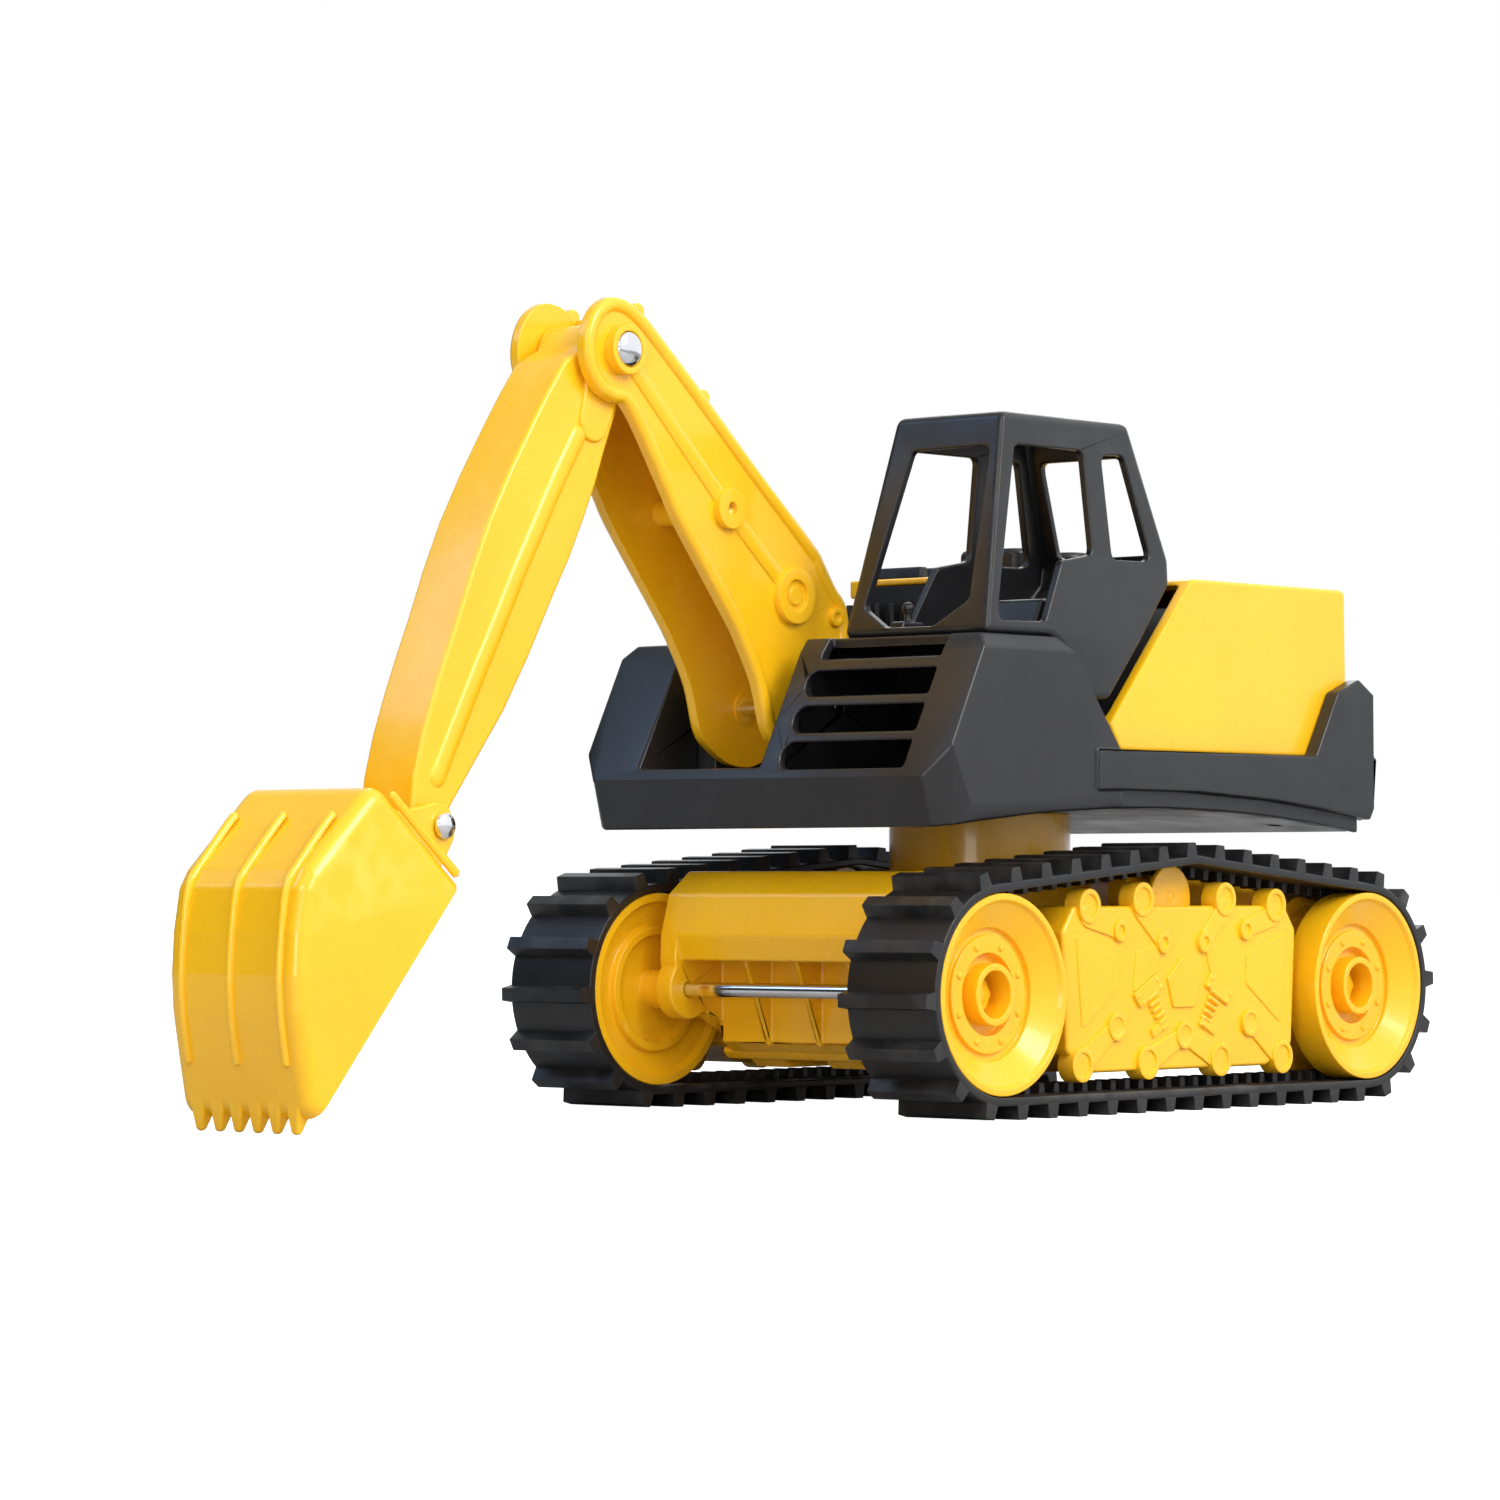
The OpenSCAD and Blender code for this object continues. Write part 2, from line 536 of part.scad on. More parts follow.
boom_edge = [[193.4, 282.6], [185.9, 281.9], [178.2, 278.3], [170.4, 272.7], [146.7, 254.1], [114.4, 227.7],
    [84.7, 204.5], [79.1, 198.6], [72.9, 190.5], [65.8, 182.5], [63.9, 170], [63.4, 146], [66, 135.5], [72.5, 127.5],
    [81.5, 124], [92, 124.6], [101, 128.6], [108.9, 135.5], [114.4, 151.6], [122.5, 165.1], [130.5, 175.6],
    [157, 206.2], [165.9, 218.9], [184, 243.5], [192.5, 246.2], [199.5, 249], [205, 255], [207.4, 262],
    [206.8, 269.5], [203.6, 276.2], [198.9, 280.4]];
boom_web_line = [[178.2, 278.3], [170.4, 272.7], [146.7, 254.1], [114.4, 227.7], [84.7, 204.5], [79.1, 198.6],
    [72.9, 190.5], [67.6, 182.5]];
boom_web_in = [[69.6, 180], [75.3, 189], [81.3, 196.8], [86.5, 202.2], [116.3, 225.4], [148.6, 251.8],
    [170.4, 269], [178.2, 274]];

// One moulded half of the boom: side wall, raised rim, centre ridge and bosses, on the +Y side
module boom_half(inner) {
    difference() {
        union() {
            translate([0, boom_hy - 1.6, 0]) rotate([90, 0, 0]) linear_extrude(boom_hy - 1.6 - inner)
                polygon(boom_edge);
            translate([0, boom_hy, 0]) rotate([90, 0, 0]) linear_extrude(1.7) difference() {
                polygon(boom_edge);
                offset(r = -5) polygon(boom_edge);
            }
            link_y([tip_pin[0], tip_pin[1]], [131.8, 213.5], 3.4, 3.4, boom_hy - 1.7, boom_hy - 0.2);
            link_y([131.8, 213.5], [95.8, 184.8], 3.4, 3.4, boom_hy - 1.7, boom_hy - 0.2);
            bar_y(tip_pin[0], tip_pin[1], 8.8, boom_hy - 1.7, boom_hy + 2.6);
            bar_y(131.8, 213.5, 7.3, boom_hy - 1.7, boom_hy + 1.2);
            bar_y(95.8, 184.8, 10.2, boom_hy - 1.7, boom_hy + 1);
            bar_y(72, 178.6, 3.4, boom_hy - 1.7, boom_hy);
            bar_y(131.8, 213.5, 5, 3, inner + 0.1);
            bar_y(179, 279, 3, inner, boom_hy - 2);
            bar_y(144, 252, 3, inner, boom_hy - 2);
        }
        bar_y(base_pin[0], base_pin[1], pin_r + 0.05, 0, 30);
        bar_y(tip_pin[0], tip_pin[1], pin_r, 0, 30);
        bar_y(tip_pin[0], tip_pin[1], 6.3, boom_hy + 0.6, 30);
        bar_y(131.8, 213.5, 2.2, 0, 30);
        bar_y(95.8, 184.8, 5.8, boom_hy - 0.6, 30);
    }
}

// The closed back of the boom between its two side walls
module boom_web(hy) {
    side_plate(concat(boom_web_line, boom_web_in), -hy, hy);
}

module boom_tie_rod() {
    bar_y(131.8, 213.5, 2.2, -boom_hy + 1, boom_hy - 1);
}

module boom_tip_pin() {
    bar_y(tip_pin[0], tip_pin[1], pin_r, -boom_hy - 1.6, boom_hy + 1.6);
}

// Polished push-on caps on the ends of the tip pin
module boom_pin_caps() {
    both_sides() translate([tip_pin[0], boom_hy + 0.6, tip_pin[1]]) rotate([-90, 0, 0]) difference() {
        rotate_extrude() polygon([[0, 0], [6.2, 0], [6.2, 1.6], [5.4, 2.6], [3.4, 3.4], [0, 3.7]]);
        translate([0, 0, -1]) cylinder(r = pin_r, h = 2);
    }
}

stick_edge = [[196, 270.4], [200.5, 265], [211.2, 259], [227.2, 235.7], [247.3, 201.6], [261.3, 168.4],
    [272.4, 141.5], [281.2, 113], [282.5, 98], [280, 90.8], [273.9, 87.7], [268, 89.8], [265.2, 95],
    [264, 102.6], [238.6, 136.4], [215.5, 176.2], [200.1, 205.1], [190, 230.1], [182.5, 249], [178.6, 262],
    [180.2, 269.6], [185.5, 274], [191.5, 273.9]];
// One half of the hollow stick on the +Y side, with its raised side rib and cheek
module stick_half() {
    difference() {
        union() {
            translate([0, stick_hy, 0]) rotate([90, 0, 0]) linear_extrude(stick_hy) polygon(stick_edge);
            link_y([204.6, 232], [224.3, 199.8], 2.9, 2.9, stick_hy - 0.5, stick_hy + 1.2);
            link_y([224.3, 199.8], [242.9, 165.6], 2.9, 2.9, stick_hy - 0.5, stick_hy + 1.2);
            link_y([242.9, 165.6], [259.8, 134], 2.9, 2.9, stick_hy - 0.5, stick_hy + 1.2);
            link_y([259.8, 134], [272, 112], 2.9, 2.9, stick_hy - 0.5, stick_hy + 1.2);
            link_y([tip_pin[0], tip_pin[1]], [197.4, 238.4], 10, 6.5, stick_hy - 0.5, stick_hy + 1.3);
        }
        translate([0, stick_hy - wall, 0]) rotate([90, 0, 0]) linear_extrude(stick_hy) polygon([[214, 246],
            [224.9, 234], [244.8, 200.4], [258.9, 167.4], [269.9, 140.6], [272, 122], [262, 112], [240.8, 137.7],
            [217.7, 177.5], [202.6, 206.5], [197, 222]]);
        bar_y(tip_pin[0], tip_pin[1], pin_r + 0.05, -1, 30);
        bar_y(bucket_pin[0], bucket_pin[1], pin_r + 0.85, -1, 30);
    }
}
module bucket_pin() {
    bar_y(bucket_pin[0], bucket_pin[1], pin_r + 0.85, -19.4, 19.4);
}

// Small domed caps on the ends of the bucket pin
module bucket_pin_caps() {
    both_sides() translate([bucket_pin[0], 19.4, bucket_pin[1]]) rotate([-90, 0, 0])
        rotate_extrude() polygon([[0, 0], [4.4, 0], [4.4, 0.8], [3.6, 1.7], [2, 2.2], [0, 2.4]]);
}

bucket_edge = [[317, 110], [311.9, 106.7], [276.7, 77.6], [336.5, 4.6], [341.5, 1.2], [343.9, 1.4],
    [344.9, 5.5], [347.9, 18.4], [351.2, 36], [351.9, 46], [351.4, 60], [349.2, 74.4], [346.6, 79.6]];
bucket_room = [[316.4, 106.8], [311.4, 103.5], [279.6, 77.2], [262, 60], [318, 0], [338.8, 4.2],
    [341.9, 6.2], [344.9, 19], [348.1, 36], [348.8, 46], [348.3, 60], [346.2, 73.6], [343.8, 78.2]];
module bucket_shell() {
    difference() {
        union() {
            side_plate(bucket_edge, -bucket_hy, bucket_hy);
            for (y = [-23, 0, 23]) side_plate([[330.6, 99], [347.8, 79.3], [350.7, 74.8], [352.9, 60],
                [353.4, 46], [352.7, 36], [349.9, 15.6], [347, 16], [347, 74], [330, 96]], y - 1.3, y + 1.3);
            for (i = [0:teeth - 1]) translate([0, (i - (teeth - 1) / 2) * 9, 0])
                side_plate([[345.1, 6.2], [344.6, -2], [343.6, -4.6], [342.2, -5.3], [341, -4.4], [336.7, 4.9]],
                    -2.7, 2.7);
            both_sides() {
                side_plate([[276.7, 77.6], [311.9, 106.7], [309.7, 109], [274.6, 80]], bucket_hy - 2.4, bucket_hy);
                bar_y(bucket_pin[0], bucket_pin[1], 7.6, 14.3, 18.6);
                side_plate([[268.2, 90.4], [277.6, 76.8], [304.6, 99], [279.6, 102.6]], 14.3, 18.6);
            }
        }
        side_plate(bucket_room, -bucket_hy + wall, bucket_hy - wall);
        bar_y(bucket_pin[0], bucket_pin[1], pin_r + 0.9, -30, 30);
    }
}

// ---------------------------------------------------------------- the assembly

place() {
    color(yellow) chassis_frame();
    color(yellow) turntable_column();
    color(yellow) belly_plate();
    color(yellow) side_cover();  // side_cover_left
    color(yellow) mirror([0, 1, 0]) side_cover();  // side_cover_right
    color(black) track_belt();  // track_belt_left
    color(black) mirror([0, 1, 0]) track_belt();  // track_belt_right
    color(steel) axle(ax);  // front_axle
    color(steel) axle(-ax);  // rear_axle
    color(yellow) axle_caps();
    color(steel) chassis_screws();
    color(steel) swing_washer();
    color(steel) swing_screw();
    color(steel) roller_pins();
    color(yellow) carrier_roller();  // carrier_roller_left
    color(yellow) mirror([0, 1, 0]) carrier_roller();  // carrier_roller_right
    color(yellow) track_wheel(ax);  // wheel_front_left
    color(yellow) mirror([0, 1, 0]) track_wheel(ax);  // wheel_front_right
    color(yellow) track_wheel(-ax);  // wheel_rear_left
    color(yellow) mirror([0, 1, 0]) track_wheel(-ax);  // wheel_rear_right
    color(black) house_deck();
    color(black) house_floor();
    color(steel) floor_screws();
    color(black) cab_shell();
    color(black) cab_seat();
    color(black) control_console();
    color(yellow) engine_hood();
    color(black) louvre_panel();
    color(black) hood_ribs();
    color(black) exhaust_stacks();
    color(black) arm_bracket(arm_y + boom_hy + 0.4, slot_y1);  // arm_bracket_left
    color(black) arm_bracket(slot_y0, arm_y - boom_hy - 0.4);  // arm_bracket_right
    color(yellow) grille_strip();
    color(steel) boom_base_pin();
    color(yellow) arm_place() boom_half(14);  // boom_left_half
    color(yellow) arm_place() mirror([0, 1, 0]) boom_half(14);  // boom_right_half
    color(yellow) arm_place() boom_web(14);
    color(steel) arm_place() boom_tie_rod();
    color(steel) arm_place() boom_tip_pin();
    color(steel) arm_place() boom_pin_caps();
    color(yellow) arm_place() stick_half();  // stick_left_half
    color(yellow) arm_place() mirror([0, 1, 0]) stick_half();  // stick_right_half
    color(steel) arm_place() bucket_pin();
    color(steel) arm_place() bucket_pin_caps();
    color(yellow) arm_place() bucket_shell();
}
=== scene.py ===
# %% [markdown]
# # A toy excavator, built piece by piece
#
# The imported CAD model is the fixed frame: it says where every joint, pin and wall is. This lesson
# dresses that frame with finished pieces. Each piece is written in millimetres about the swing axis,
# because that is how the toy is laid out, and one helper turns those numbers into metres in the frame.

from math import acos, asin, atan2, cos, hypot, pi, radians, sin, sqrt, tan

import bmesh
import bpy
from mathutils import Matrix, Vector


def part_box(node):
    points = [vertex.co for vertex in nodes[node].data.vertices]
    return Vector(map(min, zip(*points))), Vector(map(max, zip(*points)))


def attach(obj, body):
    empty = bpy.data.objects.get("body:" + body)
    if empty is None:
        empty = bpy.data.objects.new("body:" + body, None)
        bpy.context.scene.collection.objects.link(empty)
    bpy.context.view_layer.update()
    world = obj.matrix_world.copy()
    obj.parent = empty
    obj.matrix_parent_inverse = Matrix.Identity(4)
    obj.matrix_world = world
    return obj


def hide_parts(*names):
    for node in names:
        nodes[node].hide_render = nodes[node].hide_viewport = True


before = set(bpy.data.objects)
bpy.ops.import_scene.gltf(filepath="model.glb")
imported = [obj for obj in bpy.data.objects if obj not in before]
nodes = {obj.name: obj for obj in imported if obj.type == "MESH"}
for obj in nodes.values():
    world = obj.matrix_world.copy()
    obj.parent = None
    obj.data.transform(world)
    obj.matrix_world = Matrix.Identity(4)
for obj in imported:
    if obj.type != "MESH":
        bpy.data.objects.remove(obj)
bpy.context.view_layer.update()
MM = 0.001


def middle(node):
    """The middle of a CAD node's box, in metres."""
    low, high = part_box(node)
    return (low + high) / 2


def as_object(name, bm, material=None):
    """A built form as a linked object; the form itself is freed."""
    mesh = bpy.data.meshes.new(name)
    bm.to_mesh(mesh)
    bm.free()
    if material:
        mesh.materials.append(material)
    obj = bpy.data.objects.new(name, mesh)
    bpy.context.scene.collection.objects.link(obj)
    return obj


def drop(obj):
    """Removes a cutter or a pattern that was only there to be used by others."""
    mesh = obj.data
    bpy.data.objects.remove(obj)
    bpy.data.meshes.remove(mesh)


SWING_X = middle("turntable_column").x
AXLE_Z = middle("front_axle").z / MM
AXLE_X = (middle("front_axle").x - middle("rear_axle").x) / 2 / MM
print("swing axis at x =", round(SWING_X, 4), "m; half wheel base", round(AXLE_X, 2), "mm")

# %% [markdown]
# ## The camera, the floor and the light
#
# The toy is seen from its front left corner, from a little below the middle of its side, with a long
# lens, so that the far track is hardly smaller than the near one. The floor and the backdrop are
# white. Glossy plastic shows whatever stands around it, so the room itself is shaded: bright behind
# the cab side, dark in front of the toy. That makes the black front faces read as black while the
# side faces turn satin grey. Soft panels add the rest: a key above the cab side, a front panel that
# lights the faces the room leaves dark, a low fill that reaches in under the deck, and a blue one high
# up that gives the treads their sheen.

# %% Camera
CAMERA_AT = Vector((1.4930 + SWING_X, 1.1901, 0.0803))
CAMERA_LOOK = Vector((-0.7530, -0.6575, 0.0267))
camera_data = bpy.data.cameras.new("camera")
camera_data.lens = 122.9
camera_data.sensor_width = 36
camera_data.clip_start = 0.05
camera = bpy.data.objects.new("camera", camera_data)
camera.location = CAMERA_AT
camera.rotation_euler = CAMERA_LOOK.to_track_quat("-Z", "Y").to_euler()
bpy.context.scene.collection.objects.link(camera)
bpy.context.scene.camera = camera
bpy.context.scene.view_settings.view_transform = "Standard"


# %% Floor and lights
def node_material(name):
    """A new material with an empty Principled surface, and its tree."""
    material = bpy.data.materials.new(name)
    material.use_nodes = True
    tree = material.node_tree
    return material, tree, tree.nodes["Principled BSDF"]


floor_material, tree, shader = node_material("pale floor")
shader.inputs["Emission Color"].default_value = (1, 1, 1, 1)
ray_kind = tree.nodes.new("ShaderNodeLightPath")
tree.links.new(ray_kind.outputs["Is Camera Ray"], shader.inputs["Emission Strength"])
floor_noise = tree.nodes.new("ShaderNodeTexNoise")
floor_noise.inputs["Scale"].default_value = 3
floor_ramp = tree.nodes.new("ShaderNodeValToRGB")
floor_ramp.color_ramp.elements[0].color = (0.44, 0.44, 0.44, 1)
floor_ramp.color_ramp.elements[1].color = (0.5, 0.5, 0.5, 1)
tree.links.new(floor_noise.outputs["Fac"], floor_ramp.inputs["Fac"])
tree.links.new(floor_ramp.outputs["Color"], shader.inputs["Base Color"])
shader.inputs["Roughness"].default_value = 0.9
shader.inputs["Specular IOR Level"].default_value = 0.1
FLOOR = 40
bm = bmesh.new()
bm.faces.new([bm.verts.new((x * FLOOR, y * FLOOR, 0)) for x, y in ((-1, -1), (1, -1), (1, 1), (-1, 1))])
floor = as_object("floor", bm, floor_material)

BRIGHT_SIDE = (-0.70, 0.64, 0.30)
DIM, BRIGHT = 0.05, 1.18
world = bpy.data.worlds.new("studio")
world.use_nodes = True
sky = world.node_tree
bright = sky.nodes["Background"]
bright.inputs["Color"].default_value = (1, 1, 1, 1)
room = sky.nodes.new("ShaderNodeBackground")
room.inputs["Color"].default_value = (0.96, 0.98, 1, 1)
facing = sky.nodes.new("ShaderNodeVectorMath")
facing.operation = "DOT_PRODUCT"
facing.inputs[1].default_value = BRIGHT_SIDE
sky.links.new(sky.nodes.new("ShaderNodeTexCoord").outputs["Generated"], facing.inputs[0])
fade = sky.nodes.new("ShaderNodeMapRange")
fade.interpolation_type = "SMOOTHSTEP"
for label, number in (("From Min", -0.75), ("From Max", 0.55), ("To Min", DIM), ("To Max", BRIGHT)):
    fade.inputs[label].default_value = number
sky.links.new(facing.outputs["Value"], fade.inputs["Value"])
sky.links.new(fade.outputs["Result"], room.inputs["Strength"])
seen = sky.nodes.new("ShaderNodeMixShader")
sky.links.new(sky.nodes.new("ShaderNodeLightPath").outputs["Is Camera Ray"], seen.inputs["Fac"])
sky.links.new(room.outputs["Background"], seen.inputs[1])
sky.links.new(bright.outputs["Background"], seen.inputs[2])
sky.links.new(seen.outputs["Shader"], sky.nodes["World Output"].inputs["Surface"])
bpy.context.scene.world = world


def panel(name, at, size, power, colour):
    """A soft square light at a point, turned towards the toy."""
    data = bpy.data.lights.new(name, "AREA")
    data.size = size
    data.energy = power
    data.color = colour
    light = bpy.data.objects.new(name, data)
    light.location = at
    light.rotation_euler = (Vector((0, 0, 0.12)) - Vector(at)).to_track_quat("-Z", "Y").to_euler()
    bpy.context.scene.collection.objects.link(light)


panel("key", (0.0, 1.7, 1.4), 1.0, 29, (1, 0.98, 0.94))
panel("front", (1.9, 0.7, 1.3), 0.9, 12, (1, 0.97, 0.92))
panel("fill", (1.75, 0.95, 0.25), 0.5, 5.5, (1, 0.96, 0.9))
panel("cool", (1.15, -1.05, 1.35), 0.8, 7, (0.45, 0.66, 1))
panel("rim", (-1.4, -1.0, 1.4), 0.8, 7, (1, 1, 1))
print("camera is", round((CAMERA_AT - Vector((0, 0, 0.14))).length, 3), "m from the toy")

# %% [markdown]
# ## Finishes
#
# Everything here is moulded plastic, rubber or plated steel. Moulded plastic is never one flat
# colour: the skin has a faint waviness from the mould and the gloss changes a little over the surface.
# Raised edges are also painted lighter in patches, a painted highlight for the light that rounded
# edges catch. Two node groups hold those effects, so that each finish only gives them its own values.
# The groups put out colours and masks, and the surface shader stays in the material.


# %% Two shared effects
def group(name, inputs, outputs):
    """A new shader node group with named sockets; returns it with its input and output nodes."""
    tree = bpy.data.node_groups.new(name, "ShaderNodeTree")
    for label, kind, value in inputs:
        tree.interface.new_socket(label, in_out="INPUT", socket_type=kind).default_value = value
    for label, kind in outputs:
        tree.interface.new_socket(label, in_out="OUTPUT", socket_type=kind)
    return tree, tree.nodes.new("NodeGroupInput"), tree.nodes.new("NodeGroupOutput")


def wire(tree, *pairs):
    """Links each output to the input beside it."""
    for out, into in pairs:
        tree.links.new(out, into)


def feed(tree, socket, value):
    """Gives a socket a fixed value, or links another node's output to it."""
    if hasattr(value, "is_linked"):
        tree.links.new(value, socket)
    else:
        socket.default_value = value


def calculate(tree, operation, *values):
    """The output of a maths node fed with numbers or sockets."""
    node = tree.nodes.new("ShaderNodeMath")
    node.operation = operation
    for socket, value in zip(node.inputs, values):
        feed(tree, socket, value)
    return node.outputs[0]


def noise(tree, scale, detail, vector):
    """A noise texture; scale may be a number or a socket."""
    node = tree.nodes.new("ShaderNodeTexNoise")
    for label, value in (("Detail", detail), ("Scale", scale), ("Vector", vector)):
        feed(tree, node.inputs[label], value)
    return node


def fit(tree, value, low, high, to_low, to_high):
    """Maps a value from one range to another."""
    node = tree.nodes.new("ShaderNodeMapRange")
    for label, number in (("Value", value), ("From Min", low), ("From Max", high),
                          ("To Min", to_low), ("To Max", to_high)):
        feed(tree, node.inputs[label], number)
    return node.outputs["Result"]


def blend_colours(tree, factor, first, second):
    """Mixes two colours by a factor; each may be a value or a socket."""
    node = tree.nodes.new("ShaderNodeMix")
    node.data_type = "RGBA"
    for index, value in ((0, factor), (6, first), (7, second)):
        feed(tree, node.inputs[index], value)
    return node.outputs[2]


GRAIN_SHARE = 0.3
skin, skin_in, skin_out = group(
    "moulded skin",
    [("Colour", "NodeSocketColor", (0.8, 0.5, 0.1, 1)),
     ("Deep Colour", "NodeSocketColor", (0.6, 0.3, 0.05, 1)),
     ("Low Roughness", "NodeSocketFloat", 0.2), ("High Roughness", "NodeSocketFloat", 0.35),
     ("Grain Scale", "NodeSocketFloat", 900.0)],
    [("Colour", "NodeSocketColor"), ("Roughness", "NodeSocketFloat"), ("Height", "NodeSocketFloat")])
skin_at = skin.nodes.new("ShaderNodeTexCoord").outputs["Object"]
cloud = noise(skin, 14, 3, skin_at)
smudge = noise(skin, 55, 5, skin_at)
grain = noise(skin, skin_in.outputs["Grain Scale"], 2, skin_at)
flow = noise(skin, 130, 1, skin_at)
cloud_mask = fit(skin, cloud.outputs["Fac"], 0.35, 0.65, 0, 1)
clouded = blend_colours(skin, cloud_mask, skin_in.outputs["Colour"], skin_in.outputs["Deep Colour"])
skin.links.new(clouded, skin_out.inputs["Colour"])
skin.links.new(fit(skin, smudge.outputs["Fac"], 0.3, 0.7, skin_in.outputs["Low Roughness"],
                   skin_in.outputs["High Roughness"]), skin_out.inputs["Roughness"])
height = calculate(skin, "MULTIPLY_ADD", grain.outputs["Fac"], GRAIN_SHARE, flow.outputs["Fac"])
skin.links.new(height, skin_out.inputs["Height"])

# Painted highlight: convex edges found by Pointiness are lightened in noisy patches, for the light that
# rounded edges catch.
edge_highlight, highlight_in, highlight_out = group(
    "rubbed edges",
    [("Colour", "NodeSocketColor", (0.8, 0.5, 0.1, 1)),
     ("Worn Colour", "NodeSocketColor", (0.9, 0.7, 0.3, 1)),
     ("Amount", "NodeSocketFloat", 0.4)],
    [("Colour", "NodeSocketColor"), ("Edge", "NodeSocketFloat")])
edge = edge_highlight.nodes.new("ShaderNodeNewGeometry").outputs["Pointiness"]
patches = noise(edge_highlight, 90, 4, edge_highlight.nodes.new("ShaderNodeTexCoord").outputs["Object"])
edge_mask = fit(edge_highlight, edge, 0.53, 0.6, 0, 1)
patch_mask = fit(edge_highlight, patches.outputs["Fac"], 0.42, 0.62, 0, 1)
highlight_mask = calculate(edge_highlight, "MULTIPLY", edge_mask, patch_mask)
amount = calculate(edge_highlight, "MULTIPLY", highlight_mask, highlight_in.outputs["Amount"])
highlighted = blend_colours(edge_highlight, amount, highlight_in.outputs["Colour"], highlight_in.outputs["Worn Colour"])
edge_highlight.links.new(highlighted, highlight_out.inputs["Colour"])
edge_highlight.links.new(amount, highlight_out.inputs["Edge"])
print("node groups:", [g.name for g in (skin, edge_highlight)])


# %% The four finishes
def moulded(name, colour, deep, highlight_colour, rough, bump,
            grain=900.0, amount=0.4, coat=0.0, metal=0.0, shine=0.5):
    """A finish from the two effects: a skin over the colour, with a painted highlight on raised edges."""
    material, tree, shader = node_material(name)
    surface = tree.nodes.new("ShaderNodeGroup")
    surface.node_tree = skin
    for label, value in (("Colour", (*colour, 1)), ("Deep Colour", (*deep, 1)), ("Low Roughness", rough[0]),
                         ("High Roughness", rough[1]), ("Grain Scale", grain)):
        surface.inputs[label].default_value = value
    # The edge group paints a lighter highlight colour onto raised edges.
    edges = tree.nodes.new("ShaderNodeGroup")
    edges.node_tree = edge_highlight
    edges.inputs["Worn Colour"].default_value = (*highlight_colour, 1)
    edges.inputs["Amount"].default_value = amount
    relief = tree.nodes.new("ShaderNodeBump")
    relief.inputs["Strength"].default_value = bump
    relief.inputs["Distance"].default_value = 0.0002
    wire(tree, (surface.outputs["Colour"], edges.inputs["Colour"]),
         (edges.outputs["Colour"], shader.inputs["Base Color"]),
         (surface.outputs["Roughness"], shader.inputs["Roughness"]),
         (surface.outputs["Height"], relief.inputs["Height"]),
         (relief.outputs["Normal"], shader.inputs["Normal"]))
    for label, value in (("Metallic", metal), ("Specular IOR Level", shine), ("Coat Weight", coat),
                         ("Coat Roughness", 0.08)):
        shader.inputs[label].default_value = value
    return material


# The third colour of each finish is its painted edge highlight.
YELLOW = moulded("yellow plastic", (0.96, 0.53, 0.008), (0.93, 0.49, 0.006), (1.0, 0.68, 0.10),
                 (0.22, 0.34), 0.12, coat=0.25)
BLACK = moulded("black plastic", (0.011, 0.011, 0.013), (0.008, 0.008, 0.010), (0.07, 0.072, 0.078),
                (0.30, 0.44), 0.3, grain=1400.0, amount=0.5, shine=0.56)
RUBBER = moulded("belt rubber", (0.009, 0.009, 0.011), (0.007, 0.007, 0.008), (0.06, 0.06, 0.062),
                 (0.32, 0.5), 0.35, grain=700.0, amount=0.6, shine=0.52)
STEEL = moulded("plated steel", (0.80, 0.81, 0.83), (0.72, 0.73, 0.76), (0.95, 0.95, 0.95),
                (0.06, 0.16), 0.05, grain=300.0, amount=0.3, metal=1.0)

# %% [markdown]
# ## Five ways to make a shape
#
# A moulded toy is made of a few kinds of form, and each gets one helper. A slab is a flat outline with
# rounded edges. A turned form is a profile spun about a shaft. A ridge is a half-round bead along a
# line. A form can be cut by another. A softened copy takes the CAD node's own shape, joins its loose
# triangles and rounds every sharp edge, which suits shells whose walls the CAD already holds exactly.
# Nothing is left knife-sharp, because no moulded edge is.


# %% Outlines
def rounded(points, radius, steps=5):
    """A closed outline with its corners turned into arcs of about that radius."""
    out = []
    count = len(points)
    for i, corner in enumerate(points):
        corner = Vector(corner)
        before, after = Vector(points[i - 1]) - corner, Vector(points[(i + 1) % count]) - corner
        bend = before.angle(after)
        if bend > pi - 0.02 or radius <= 0:
            out.append(corner)
            continue
        reach = min(radius / max(0.05, tan(bend / 2)), 0.45 * before.length, 0.45 * after.length)
        a, b = corner + before.normalized() * reach, corner + after.normalized() * reach
        for k in range(steps + 1):
            t = k / steps
            out.append(a * (1 - t) ** 2 + corner * 2 * t * (1 - t) + b * t ** 2)
    return out


def flowing(points, steps=6, closed=True):
    """A smooth curve through the points."""
    count = len(points)
    pts = [Vector(p) for p in points]
    pick = (lambda i: pts[i % count]) if closed else (lambda i: pts[max(0, min(count - 1, i))])
    out = []
    for i in range(count if closed else count - 1):
        a, b, c, d = pick(i - 1), pick(i), pick(i + 1), pick(i + 2)
        for k in range(steps):
            t = k / steps
            out.append(0.5 * (2 * b + (c - a) * t + (2 * a - 5 * b + 4 * c - d) * t * t
                              + (3 * b - a - 3 * c + d) * t ** 3))
    if not closed:
        out.append(pts[-1])
    return out


def inset(outline, distance):
    """The outline moved inwards by a distance."""
    count = len(outline)
    turn = sum(outline[i - 1].x * outline[i].y - outline[i].x * outline[i - 1].y for i in range(count))
    side = 1 if turn > 0 else -1
    out = []
    for i in range(count):
        a = (outline[i] - outline[i - 1]).normalized()
        b = (outline[(i + 1) % count] - outline[i]).normalized()
        na, nb = Vector((-a.y, a.x)), Vector((-b.y, b.x))
        m = (na + nb).normalized() if (na + nb).length > 1e-6 else na
        out.append(outline[i] + m * (side * distance / max(0.5, m.dot(na))))
    return out


